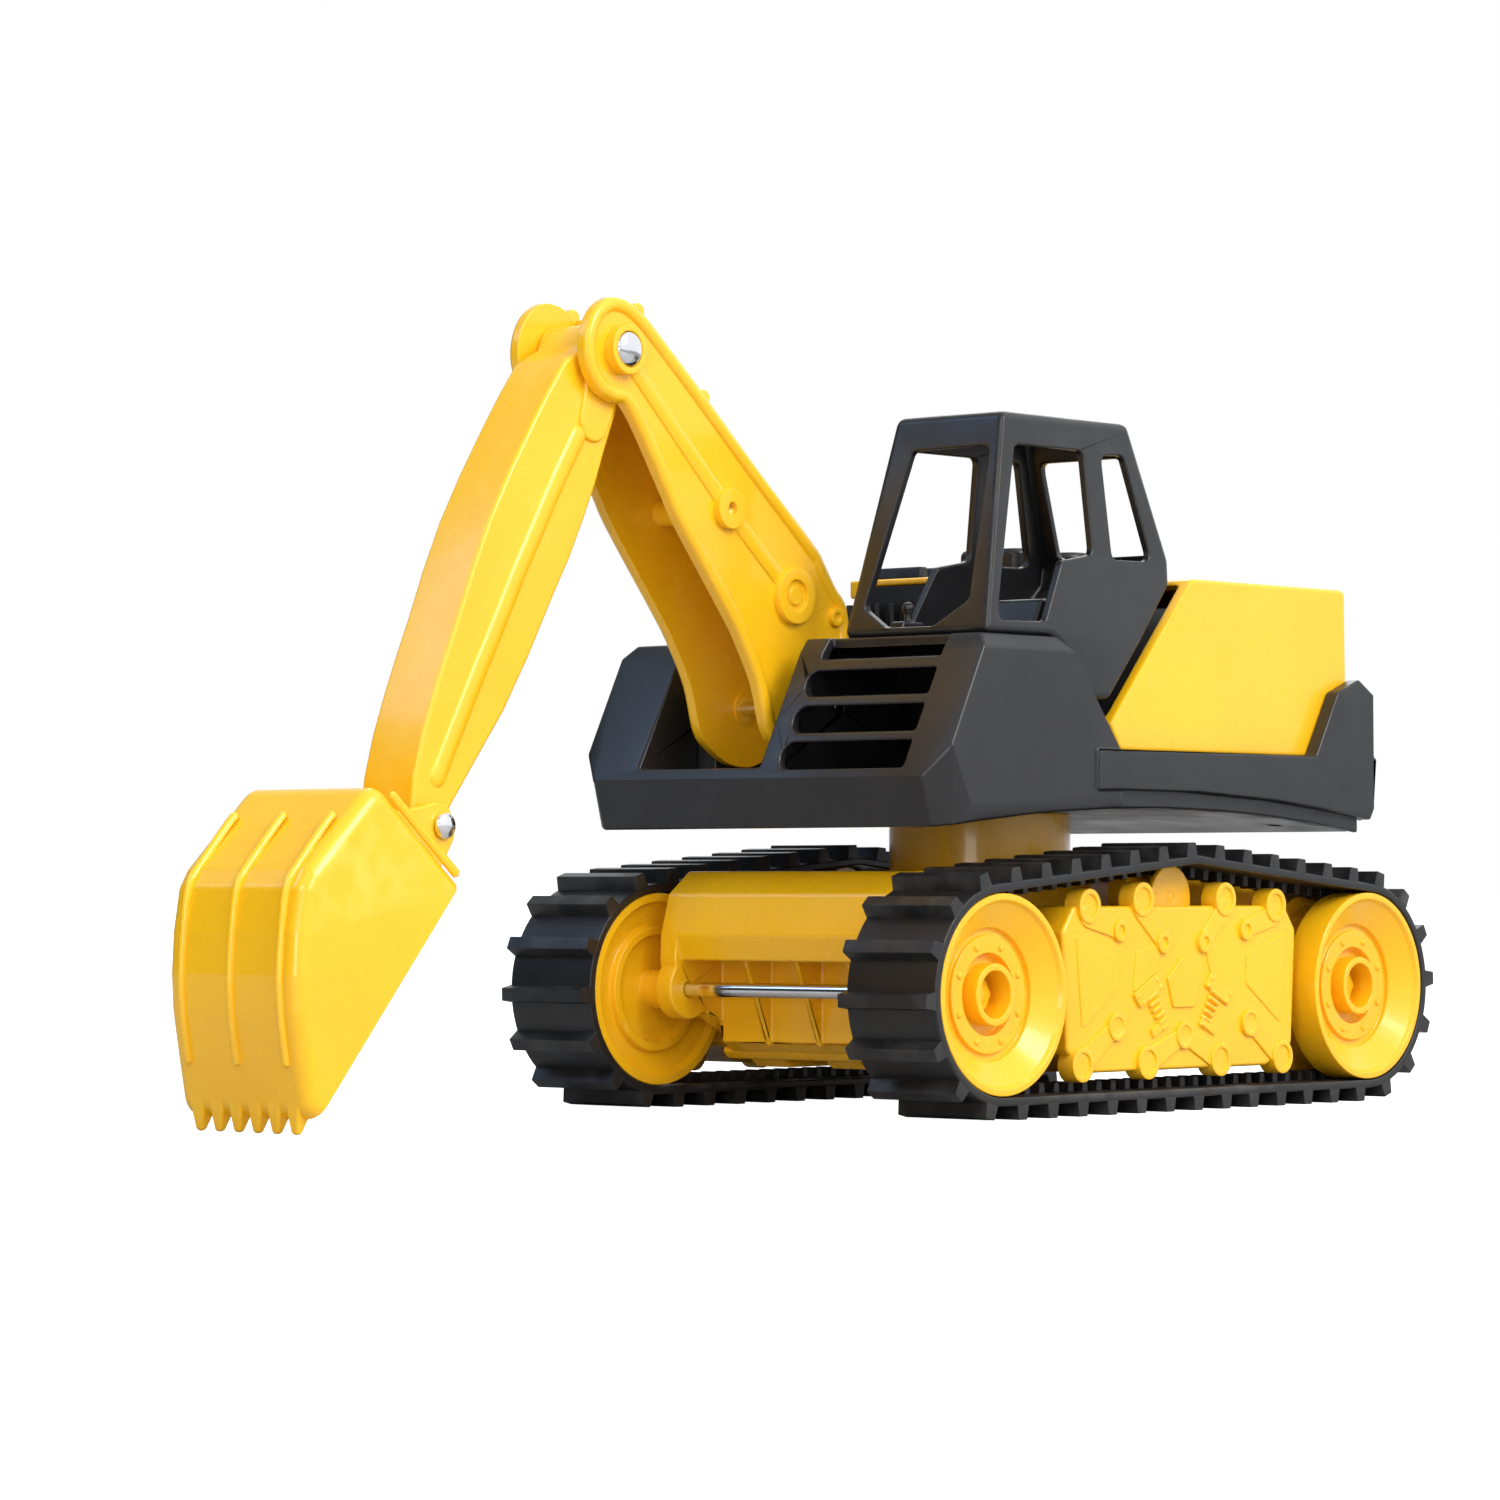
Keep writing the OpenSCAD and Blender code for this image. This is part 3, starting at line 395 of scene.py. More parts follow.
# %% Slabs, turned forms and ridges
def skin_between(bm, rings, closed=False):
    """Joins rings of points into a skin, closed in a loop or with a face at each end."""
    made = [[bm.verts.new(p) for p in r] for r in rings]
    for a, b in zip(made, made[1:] + made[:1] if closed else made[1:]):
        for i in range(len(a)):
            j = (i + 1) % len(a)
            bm.faces.new((a[i], a[j], b[j], b[i]))
    if not closed:
        bm.faces.new(made[0])
        bm.faces.new(list(reversed(made[-1])))


def slab(bm, outline, y0, y1, edge=0.0, back_edge=0.0, steps=3):
    """A flat outline in X and Z, from y0 to y1, with its rim rounded at y1 and perhaps at y0."""
    outline = [Vector(p) for p in outline]
    turn = 1 if y1 > y0 else -1
    rings = []
    for y, radius, way in ((y0, back_edge, 1), (y1, edge, -1)):
        corner = []
        for k in range(steps + 1 if radius > 0 else 1):
            a = k / steps * pi / 2
            corner.append((radius * (1 - sin(a)), y + way * turn * radius * (1 - cos(a))))
        rings += corner if way > 0 else reversed(corner)
    skin_between(bm, [[(p.x, y, p.y) for p in (inset(outline, d) if d > 0 else outline)] for d, y in rings])


def turned(bm, x, z, profile, segments=64):
    """A closed profile of (radius, y) points spun about a line along Y."""
    rings = []
    for k in range(segments):
        a = 2 * pi * k / segments
        rings.append([bm.verts.new((x + r * cos(a), y, z + r * sin(a))) if r > 1e-6 else None
                      for r, y in profile])
    poles = {i: bm.verts.new((x, y, z)) for i, (r, y) in enumerate(profile) if r <= 1e-6}
    for k in range(segments):
        a, b = rings[k], rings[(k + 1) % segments]
        for i in range(len(profile)):
            j = (i + 1) % len(profile)
            corners = [poles[i] if i in poles else a[i], poles[j] if j in poles else a[j],
                       poles[j] if j in poles else b[j], poles[i] if i in poles else b[i]]
            unique = list(dict.fromkeys(corners))
            if len(unique) > 2:
                bm.faces.new(unique)


def rod(bm, x, z, r, y0, y1, edge=0.3, segments=32):
    """A round bar along Y with softened ends."""
    turned(bm, x, z, [(0, y0), (r - edge, y0), (r, y0 + edge), (r, y1 - edge), (r - edge, y1), (0, y1)],
           segments)


def ridge(bm, path, across, up, half, height, closed=False, steps=6):
    """A half-round bead along a path. across and up give the two directions at each point."""
    line = [Vector(p) for p in path]
    count = len(line)
    run = [0.0]
    for a, b in zip(line, line[1:]):
        run.append(run[-1] + (b - a).length)
    rings = []
    for i, p in enumerate(line):
        grow = 1.0
        if not closed:
            end = min(run[i], run[-1] - run[i])
            grow = sqrt(max(0.0, 1 - (1 - min(1, end / half)) ** 2))
        s, u = across(i), up(i)
        ring = []
        for k in range(steps + 1):
            a = pi * k / steps
            ring.append(p + s * (half * grow * cos(a)) + u * (height * grow * sin(a)))
        ring.append(p - s * (half * grow) - u * 0.6)
        ring.append(p + s * (half * grow) - u * 0.6)
        rings.append(ring)
    if not closed:
        rings[0] = [line[0] + (q - line[0]) * 0.02 + up(0) * 0.02 for q in rings[1]]
        rings[-1] = [line[-1] + (q - line[-1]) * 0.02 + up(count - 1) * 0.02 for q in rings[-2]]
    skin_between(bm, rings, closed)


def side_ridge(bm, outline, y, half, height, out=1, closed=False):
    """A bead along an outline on a side face at y."""
    pts = [Vector(p) for p in outline]
    count = len(pts)

    def across(i):
        a = pts[i - 1] if closed or i > 0 else pts[i]
        b = pts[(i + 1) % count] if closed or i < count - 1 else pts[i]
        d = (b - a).normalized()
        return Vector((-d.y, 0, d.x))

    ridge(bm, [(p.x, y, p.y) for p in pts], across, lambda i: Vector((0, out, 0)), half, height, closed)


def dense(a, b, step=1.0):
    """Evenly spaced points from a to b."""
    a, b = Vector(a), Vector(b)
    n = max(2, int((b - a).length / step))
    return [a.lerp(b, i / n) for i in range(n + 1)]


# %% From a form to a finished piece
def in_frame(bm, turn=None):
    """Turns millimetres about the swing axis into metres in the frame."""
    place = Matrix.Translation((SWING_X, 0, 0)) @ Matrix.Scale(MM, 4)
    bm.transform(place @ turn if turn else place)


def to_object(name, bm, material, turn=None):
    """The form as a linked object with outward faces."""
    bmesh.ops.remove_doubles(bm, verts=bm.verts, dist=1e-5)
    bmesh.ops.recalc_face_normals(bm, faces=bm.faces)
    in_frame(bm, turn)
    return as_object(name, bm, material)


def baked(obj):
    """Replaces an object's mesh by what its modifiers make, and removes them."""
    graph = bpy.context.evaluated_depsgraph_get()
    mesh = bpy.data.meshes.new_from_object(obj.evaluated_get(graph), depsgraph=graph)
    obj.modifiers.clear()
    old, obj.data = obj.data, mesh
    mesh.name = obj.name
    bpy.data.meshes.remove(old)
    return obj


def cut(obj, cutter):
    """Cuts one form by another, and drops the second."""
    tool = obj.modifiers.new("cut", "BOOLEAN")
    tool.operation = "DIFFERENCE"
    tool.solver = "MANIFOLD"
    tool.object = cutter
    baked(obj)
    drop(cutter)
    return obj


def bored(obj, at, radius, place=None):
    """Drills a hole along Y right through a form."""
    bm = bmesh.new()
    turned(bm, *at, [(0, -60), (radius, -60), (radius, 60), (0, 60)], 48)
    return cut(obj, to_object("bore", bm, obj.data.materials[0], place))


def soften(obj, width, segments=3, angle=30):
    """Rounds every edge sharper than the angle, after splitting faces of many sides."""
    bm = bmesh.new()
    bm.from_mesh(obj.data)
    bmesh.ops.triangulate(bm, faces=[f for f in bm.faces if len(f.verts) > 4])
    bm.to_mesh(obj.data)
    bm.free()
    bevel = obj.modifiers.new("soften", "BEVEL")
    bevel.width = width * MM
    bevel.segments = segments
    bevel.limit_method = "ANGLE"
    bevel.angle_limit = radians(angle)
    bevel.use_clamp_overlap = False
    bevel.miter_outer = "MITER_ARC"
    return baked(obj)


def fitted(obj, body, *replaced, angle=40):
    """Shades a piece, puts it on its body and lets it stand for its CAD nodes."""
    obj.data.shade_smooth()
    obj.data.set_sharp_from_angle(angle=radians(angle))
    even = obj.modifiers.new("even shading", "WEIGHTED_NORMAL")
    even.keep_sharp = True
    baked(obj)
    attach(obj, body)
    if replaced:
        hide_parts(*replaced)
    print(f"{obj.name}: {len(obj.data.polygons)} faces")
    return obj


def softened_copy(node, name, body, material, width, segments=3):
    """The CAD node's own shape as one clean skin with rounded edges."""
    bm = bmesh.new()
    bm.from_mesh(nodes[node].data)
    bmesh.ops.remove_doubles(bm, verts=bm.verts, dist=2e-6)
    bmesh.ops.dissolve_limit(bm, angle_limit=radians(1.5), verts=bm.verts, edges=bm.edges)
    return fitted(soften(as_object(name, bm, material), width, segments), body, node)


def other_hand(obj, middle_y=0.0):
    """Turns a left-hand piece into its right-hand one about a plane at middle_y, faces kept outward."""
    obj.data.transform(Matrix.Translation((0, 2 * middle_y * MM, 0)) @ Matrix.Scale(-1, 4, (0, 1, 0)))
    obj.data.flip_normals()
    return obj


def hand_copy(obj, name):
    """A right-hand copy of a left-hand piece."""
    other = bpy.data.objects.new(name, obj.data.copy())
    bpy.context.scene.collection.objects.link(other)
    return other_hand(other)



# %% [markdown]
# ## Rows, rings and belts of the same thing
#
# Grousers, rivets, fins, ribs and teeth are one small form repeated by a rule. Geometry Nodes place
# some of the copies: along a closed path for the belts, in a ring for rivets and in a straight row for
# the teeth. Each tree has named inputs, and ends by realizing its instances and setting the material,
# so that the result is a plain mesh.


# %% Geometry Nodes trees
def copies_tree(name, sockets):
    """A geometry tree with a Piece, a Count and a Material input, and the nodes every row ends in."""
    tree = bpy.data.node_groups.new(name, "GeometryNodeTree")
    tree.interface.new_socket("Geometry", in_out="INPUT", socket_type="NodeSocketGeometry")
    for label, kind in [("Piece", "NodeSocketObject"), ("Count", "NodeSocketInt"), *sockets,
                        ("Material", "NodeSocketMaterial")]:
        tree.interface.new_socket(label, in_out="INPUT", socket_type=kind)
    tree.interface.new_socket("Geometry", in_out="OUTPUT", socket_type="NodeSocketGeometry")
    given, result = tree.nodes.new("NodeGroupInput"), tree.nodes.new("NodeGroupOutput")
    piece = tree.nodes.new("GeometryNodeObjectInfo")
    place = tree.nodes.new("GeometryNodeInstanceOnPoints")
    real = tree.nodes.new("GeometryNodeRealizeInstances")
    paint = tree.nodes.new("GeometryNodeSetMaterial")
    wire(tree, (given.outputs["Piece"], piece.inputs["Object"]),
         (piece.outputs["Geometry"], place.inputs["Instance"]),
         (place.outputs["Instances"], real.inputs["Geometry"]),
         (real.outputs["Geometry"], paint.inputs["Geometry"]),
         (given.outputs["Material"], paint.inputs["Material"]),
         (paint.outputs["Geometry"], result.inputs["Geometry"]))
    return tree, given, place


belt_tree, given, place = copies_tree("copies along a belt", [])
line = belt_tree.nodes.new("GeometryNodeMeshToCurve")
even = belt_tree.nodes.new("GeometryNodeResampleCurve")
along = belt_tree.nodes.new("GeometryNodeInputTangent")
aim = belt_tree.nodes.new("FunctionNodeAlignRotationToVector")
aim.axis, aim.pivot_axis = "X", "Y"
wire(belt_tree, (given.outputs["Geometry"], line.inputs["Mesh"]),
     (line.outputs["Curve"], even.inputs["Curve"]),
     (given.outputs["Count"], even.inputs["Count"]), (along.outputs["Tangent"], aim.inputs["Vector"]),
     (even.outputs["Curve"], place.inputs["Points"]), (aim.outputs["Rotation"], place.inputs["Rotation"]))

row_tree, given, place = copies_tree("copies in a row", [("Step", "NodeSocketVector")])
points = row_tree.nodes.new("GeometryNodeMeshLine")
wire(row_tree, (given.outputs["Count"], points.inputs["Count"]),
     (given.outputs["Step"], points.inputs["Offset"]), (points.outputs["Mesh"], place.inputs["Points"]))

ring_tree, given, place = copies_tree("copies in a ring", [("Radius", "NodeSocketFloat"),
                                                           ("Centre", "NodeSocketVector")])
points = ring_tree.nodes.new("GeometryNodeMeshCircle")
upright = ring_tree.nodes.new("GeometryNodeTransform")
upright.inputs["Rotation"].default_value = (pi / 2, pi / 8, 0)
wire(ring_tree, (given.outputs["Count"], points.inputs["Vertices"]),
     (given.outputs["Radius"], points.inputs["Radius"]),
     (given.outputs["Centre"], upright.inputs["Translation"]),
     (points.outputs["Mesh"], upright.inputs["Geometry"]),
     (upright.outputs["Geometry"], place.inputs["Points"]))
print("trees:", [t.name for t in (belt_tree, row_tree, ring_tree)])


def repeat(tree, carrier, **values):
    """Runs a tree on a carrier object with the given input values, and keeps the result as its mesh."""
    tool = carrier.modifiers.new("copies", "NODES")
    tool.node_group = tree
    for item in tree.interface.items_tree:
        if item.item_type == "SOCKET" and item.in_out == "INPUT" and item.name in values:
            tool[item.identifier] = values[item.name]
    return baked(carrier)


def join(target, *others):
    """Adds other objects' meshes to the target and drops them."""
    bm = bmesh.new()
    bm.from_mesh(target.data)
    for other in others:
        bm.from_mesh(other.data)
    bm.to_mesh(target.data)
    bm.free()
    for other in others:
        drop(other)
    return target


# %% [markdown]
# ## The track belts
#
# Each belt is a rubber loop round two wheels and a small carrier roller, so its top run rises to the
# middle. Outside it has forty bars, the grousers, which grip the ground; inside it has twice as many
# blocks, which run in a groove of the wheels. The loop is three arcs and three straight runs, found
# from the tangents of the three circles. The band is swept round that loop, and the bars and blocks
# are placed along it by the belt tree.

# %% The path of a belt
WHEEL_R = 35.0
ROLLER_R = 12.0
ROLLER = (-2.0, middle("carrier_roller_left").z / MM)
BELT_T = 3.3
GROUSERS = 40
BELT_IN, BELT_OUT = (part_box("track_belt_left")[0].y / MM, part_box("track_belt_left")[1].y / MM)
BELT_MID = (BELT_IN + BELT_OUT) / 2


def top_run(dx):
    """Slope and length of a top run between a wheel and the roller."""
    dz = ROLLER[1] - AXLE_Z
    reach = hypot(dx, dz)
    return atan2(dz, dx) - asin((WHEEL_R - ROLLER_R) / reach), sqrt(reach ** 2 - (WHEEL_R - ROLLER_R) ** 2)


def belt_point(share, d):
    """Place and heading on the belt at a share of its length, d millimetres outside the wheels."""
    fa, fr = top_run(AXLE_X - ROLLER[0])
    ra, rr = top_run(AXLE_X + ROLLER[0])
    stretches = [("run", 2 * AXLE_X, (-AXLE_X, AXLE_Z - WHEEL_R - d), 0.0),
                 ("arc", (WHEEL_R + d) * (pi - fa), (AXLE_X, AXLE_Z), 0.0),
                 ("run", fr, None, pi - fa),
                 ("arc", (ROLLER_R + d) * (fa + ra), ROLLER, pi - fa),
                 ("run", rr, None, pi + ra),
                 ("arc", (WHEEL_R + d) * (pi - ra), (-AXLE_X, AXLE_Z), pi + ra)]
    s = share * sum(length for kind, length, at, heading in stretches)
    here = (-AXLE_X, AXLE_Z - WHEEL_R - d)
    for kind, length, at, heading in stretches:
        step = min(s, length)
        if kind == "run":
            here = (here[0] + step * cos(heading), here[1] + step * sin(heading))
            turn = heading
        else:
            r = (WHEEL_R if at != ROLLER else ROLLER_R) + d
            turn = heading + step / r
            here = (at[0] + r * sin(turn), at[1] - r * cos(turn))
        if s <= length:
            return here, turn
        s -= length
    return here, turn


FIRST = 0.35 / GROUSERS
BAND_STEPS, LINE_STEPS = 240, 800
print("grouser pitch", round((Vector(belt_point(FIRST + 1 / GROUSERS, BELT_T)[0])
                              - Vector(belt_point(FIRST, BELT_T)[0])).length, 2), "mm")


# %% Band, grousers and inner blocks
def belt_line(name, d):
    """The closed line that a belt's bars or blocks stand on."""
    bm = bmesh.new()
    line = []
    for i in range(LINE_STEPS):
        x, z = belt_point((FIRST + i / LINE_STEPS) % 1, d)[0]
        line.append(bm.verts.new((x, 0, z)))
    for a, b in zip(line, line[1:] + line[:1]):
        bm.edges.new((a, b))
    in_frame(bm)
    return as_object(name, bm)


def bar(name, points, y0, y1, edge):
    """A bar across the belt, drawn about its own foot, in metres."""
    bm = bmesh.new()
    slab(bm, rounded(points, edge, 2), y0, y1, edge=edge, back_edge=edge, steps=2)
    bmesh.ops.recalc_face_normals(bm, faces=bm.faces)
    bm.transform(Matrix.Scale(MM, 4))
    return as_object(name, bm)


GROUSER_H = AXLE_Z - WHEEL_R - BELT_T
grouser = bar("grouser", [(-3.3, 0.5), (-2.35, -GROUSER_H), (2.35, -GROUSER_H), (3.3, 0.5)],
              BELT_IN, BELT_OUT, 0.35)
block = bar("block", [(-1.75, -0.5), (-1.4, 3.6), (1.4, 3.6), (1.75, -0.5)], BELT_MID - 4, BELT_MID + 4, 0.5)

bm = bmesh.new()
section = rounded([(BELT_IN, 0.3), (BELT_OUT, 0.3), (BELT_OUT, BELT_T), (BELT_IN, BELT_T)], 0.7, 3)
loops = []
for i in range(BAND_STEPS):
    (x, z), turn = belt_point(i / BAND_STEPS, 0)
    loops.append([(x + sin(turn) * q.y, q.x, z - cos(turn) * q.y) for q in section])
skin_between(bm, loops, closed=True)
band = to_object("band", bm, RUBBER)
bars = repeat(belt_tree, belt_line("bars", BELT_T), Piece=grouser, Count=GROUSERS, Material=RUBBER)
blocks = repeat(belt_tree, belt_line("blocks", 0.3), Piece=block, Count=2 * GROUSERS, Material=RUBBER)
for pattern in (grouser, block):
    drop(pattern)
belt = join(band, bars, blocks)
print("belt mesh:", len(belt.data.polygons), "faces")


right_belt = hand_copy(belt, "belt_right")
belt.name = "belt_left"
fitted(belt, "undercarriage", "track_belt_left")
fitted(right_belt, "undercarriage", "track_belt_right")

# %% [markdown]
# ## Wheels, rollers and axles
#
# A track wheel is a turned form: a drum with a groove for the belt's blocks, a dished outer face, a
# flange with eight rivets, and an open hub tube with a hexagonal push cap deep inside. The steel rod
# runs through both sides of the chassis. Spinning a profile gives true round edges at every step.

# %% Wheels
FACE = 98.9
AXLE_R = 2.65
BORE_R = AXLE_R + 0.05
RIVETS, RIVET_RING, FLANGE_Y = 8, 17.4, 91.7
WHEEL_PROFILE = [
    (BORE_R, 55), (7.2, 55), (7.2, 64.5), (18.8, 64.5), (19.6, 62.2), (22.6, 62.2), (23.2, 64.5),
    (30.8, 63.4), (31.8, 60.6), (34.9, 60.6), (34.9, 73.6), (30.4, 73.9), (30.4, 85.2), (34.9, 85.5),
    (34.9, FACE), (32.6, FACE), (31.6, 97.4), (23.1, 91.9), (23.1, 90.2), (20.5, 90.2),
    (20.5, FLANGE_Y), (14.3, FLANGE_Y), (14.3, 88.2), (10.8, 88.2), (10.8, 95), (8.3, 95), (8.3, 84.4),
    (BORE_R, 84.4)]


def wheel(name, side_x, hand, body, node):
    """One track wheel with its rivets, on the left (1) or right (-1) side."""
    bm = bmesh.new()
    profile = [(p.x, p.y) for p in rounded(WHEEL_PROFILE, 0.55, 3)]
    turned(bm, side_x, AXLE_Z, profile, 96)
    obj = to_object(name, bm, YELLOW)
    bm = bmesh.new()
    turned(bm, 0, 0, [(0, -0.4), (1.25, -0.4), (1.25, 0.35), (0.95, 0.75), (0.45, 0.95), (0, 1.0)], 16)
    rivet = to_object("rivet", bm, YELLOW)
    rivet.data.transform(Matrix.Translation((-SWING_X, 0, 0)))
    carrier = to_object("rivets", bmesh.new(), YELLOW)
    rivets = repeat(ring_tree, carrier, Piece=rivet, Count=RIVETS, Radius=RIVET_RING * MM,
                    Centre=(side_x * MM + SWING_X, FLANGE_Y * MM, AXLE_Z * MM), Material=YELLOW)
    drop(rivet)
    join(obj, rivets)
    if hand < 0:
        other_hand(obj)
    return fitted(obj, body, node, angle=30)


for end, x in (("front", AXLE_X), ("rear", -AXLE_X)):
    for side, hand in (("left", 1), ("right", -1)):
        corner = end[0] + side[0]
        wheel(f"track_wheel_{corner}", x, hand, f"wheel_{corner}", f"wheel_{end}_{side}")

# %% Carrier rollers
for hand, side in ((1, "left"), (-1, "right")):
    bm = bmesh.new()
    r = ROLLER_R - 0.1
    profile = rounded([(2.05, 66.6), (r, 66.6), (r, 74.5), (r - 4.4, 74.8), (r - 4.4, 84.3), (r, 84.6),
                       (r, 86.8), (5, 86.8), (2, 86.8)], 0.7, 3)
    profile = [(2.05, 84.5), (2.05, 66.6)] + [(p.x, p.y) for p in profile[1:-1]] + [(0, 86.8), (0, 84.5)]
    turned(bm, ROLLER[0], ROLLER[1], [(q, y * hand) for q, y in profile], 64)
    fitted(to_object(f"roller_{side}", bm, YELLOW), f"roller_{side}", f"carrier_roller_{side}")

# %% Axles, push caps and roller pins
bm = bmesh.new()
for x in (-AXLE_X, AXLE_X):
    rod(bm, x, AXLE_Z, AXLE_R, -86.4, 86.4, 0.5, 48)
fitted(to_object("axle_rods", bm, STEEL), "undercarriage", "front_axle", "rear_axle")
bm = bmesh.new()
for x in (-AXLE_X, AXLE_X):
    for hand in (-1, 1):
        corners = [(x + 6.1 * cos(a * pi / 3), AXLE_Z + 6.1 * sin(a * pi / 3)) for a in range(6)]
        slab(bm, rounded(corners, 0.8, 3), hand * 84.7, hand * 88.2, 0.8)
        dome = [(0, 88), (3.6, 88), (3.6, 88.4), (2.9, 88.9), (0, 89)]
        turned(bm, x, AXLE_Z, [(r, hand * y) for r, y in dome], 32)
fitted(to_object("push_caps", bm, YELLOW), "undercarriage", "axle_caps")
bm = bmesh.new()
for hand in (-1, 1):
    rod(bm, ROLLER[0], ROLLER[1], 2, min(hand * 62, hand * 84.2), max(hand * 62, hand * 84.2))
fitted(to_object("roller_pin_rods", bm, STEEL), "undercarriage", "roller_pins")

# %% [markdown]
# ## The side covers
#
# Between the wheels each side has a deep cover whose face carries a low relief that imitates machinery:
# round bosses joined by tapered links, flat pads, a five-sided badge and two small dampers with coils.
# Each raised thing is its own small slab or turned disc with a rounded rim, laid on the cover's face.
# The pattern is the same front and rear, so every item is written once and mirrored.

# %% Relief helpers
COVER_Y = 93.4
COVER_EDGE = [(-64, 73.5), (-70.5, 64.5), (-68, 22), (-52, 14.7),
              (52, 14.7), (68, 22), (70.5, 64.5), (64, 73.5)]


def dished(bm, x, z, r, dish, y0, y1, depth=0.9):
    """A raised disc with a dished middle, closed at its axis."""
    soft = [(0, y0), (r, y0), (r, y1 - 0.5), (r - 0.15, y1 - 0.15), (r - 0.5, y1), (dish + 0.35, y1),
            (dish + 0.1, y1 - 0.12), (dish, y1 - 0.35), (dish - 0.1, y1 - depth + 0.15),
            (dish - 0.5, y1 - depth), (0, y1 - depth)]
    turned(bm, x, z, soft, 40)


def link(a, b, ra, rb, steps=10):
    """Outline of a tapered link with round ends."""
    a, b = Vector(a), Vector(b)
    th, ph = atan2(b.y - a.y, b.x - a.x), acos((ra - rb) / (b - a).length)
    rest = 2 * pi - 2 * ph
    out = []
    for end, r, start, sweep in ((b, rb, th - ph, 2 * ph), (a, ra, th + ph, rest)):
        for k in range(steps + 1):
            turn = start + sweep * k / steps
            out.append(end + r * Vector((cos(turn), sin(turn))))
    return out


# %% The covers
def cover_relief(bm):
    """Everything that stands on a cover's face."""
    y0, y1 = COVER_Y - 0.4, 94.9
    for s in (1, -1):
        def at(points):
            return [(s * x, z) for x, z in points]
        for x, z in ((56.4, 73.5), (24.9, 75.8), (60.5, 17.7), (21.9, 17.7)):
            dished(bm, s * x, z, 6.2, 4.2, 88, y1)
        dished(bm, s * 40.3, 30.6, 5, 3.4, y0, y1, 0.6)
        dished(bm, s * 38.2, 64.8, 4, 1.8, y0, y1 + 0.1, 1.2)
        dished(bm, s * 12.4, 60.4, 4, 1.8, y0, y1 + 0.1, 1.2)
        for a, b, ra, rb in (((56.4, 70), (38.2, 64.8), 4.2, 3.2), ((24.9, 72), (12.4, 60.4), 4.2, 3.2),
                             ((60.5, 17.7), (40.3, 30.6), 4.6, 3.0), ((21.9, 17.7), (0, 26.9), 4.6, 3.0)):
            (ax, az), (bx, bz) = at([a, b])
            slab(bm, link((ax, az), (bx, bz), ra, rb), y0, y1 - 0.7, 0.5)
        for pad in ([(63.2, 63.4), (38.6, 55.6), (38.5, 44.7), (60.1, 30.1)],
                    [(12.4, 60.4), (28, 57.5), (30.6, 42.1), (16.2, 49.7)]):
            slab(bm, rounded(at(pad), 1.2, 3), y0, y1 - 1.0, 0.45)
        holder = at([(30.6, 42.1), (16.2, 49.7), (12.7, 44.5), (26.4, 37)])
        slab(bm, rounded(holder, 1.0, 3), y0, y1 - 0.3, 0.4)
        for x, z in ((27.7, 41.4), (17, 47.2), (25, 38.9), (14.8, 44.5)):
            rod(bm, s * x, z, 0.95, y0, y1 + 0.1, 0.3, 12)
        for t in range(6):
            a, b = at([(22.9 - t * 1.75, 39.6 - t * 2.1), (15.9 - t * 1.3, 43.0 - t * 2.35)])
            side_ridge(bm, dense(a, b, 0.6), y1 - 1.2, 0.95, 1.15)
        foot = at([(18.7, 26.3), (9.7, 30.3), (11.2, 33.5), (20.0, 29.4)])
        slab(bm, rounded(foot, 0.8, 3), y0, y1 - 0.5, 0.4)
    dished(bm, 0, 26.9, 5, 3.4, y0, y1, 0.6)
    badge = [(0, 55.7), (-10.1, 47.7), (-6.5, 36.9), (6.5, 36.9), (10.1, 47.7)]
    slab(bm, rounded(badge, 1.2, 3), y0, y1 - 0.6, 0.5)


bm = bmesh.new()
slab(bm, rounded(COVER_EDGE, 3.0, 5), 54.4, COVER_Y, 1.4, steps=4)
shell = to_object("cover_left", bm, YELLOW)
bm = bmesh.new()
slab(bm, rounded([(-15.5, 58), (11.5, 58), (11.5, 90), (-15.5, 90)], 1.5, 3), 66, 88)
cut(shell, to_object("roller_slot", bm, YELLOW))
soften(shell, 0.5, 2, 60)
bm = bmesh.new()
cover_relief(bm)
cover = join(shell, to_object("relief", bm, YELLOW))
right_cover = hand_copy(cover, "cover_right")
fitted(cover, "undercarriage", "side_cover_left", angle=30)
fitted(right_cover, "undercarriage", "side_cover_right", angle=30)

# %% [markdown]
# ## Chassis and turntable
#
# The chassis is a faceted box with two cross beams and round lugs for the axles. Its CAD shape is
# already right, so it is only softened, and so are its pan, its screws and the column that the house
# turns on.

# %% Chassis
for node, name, material, width, segments in (
        ("chassis_frame", "chassis", YELLOW, 0.9, 3), ("belly_plate", "belly_pan", YELLOW, 0.8, 3),
        ("chassis_screws", "cover_screws", STEEL, 0.25, 2), ("turntable_column", "column", YELLOW, 0.8, 3),
        ("swing_washer", "bearing_washer", STEEL, 0.2, 2), ("swing_screw", "bearing_screw", STEEL, 0.2, 2)):
    softened_copy(node, name, "undercarriage", material, width, segments)

# %% [markdown]
# ## The house
#
# The black deck and the yellow hood are thin shells with planar faces, openings and one long arch
# underneath. The CAD node holds those walls exactly, so each gets a softened copy: wide rounds on the
# hood, finer ones on the deck. Each row names the node, the piece, its finish and the round's width.

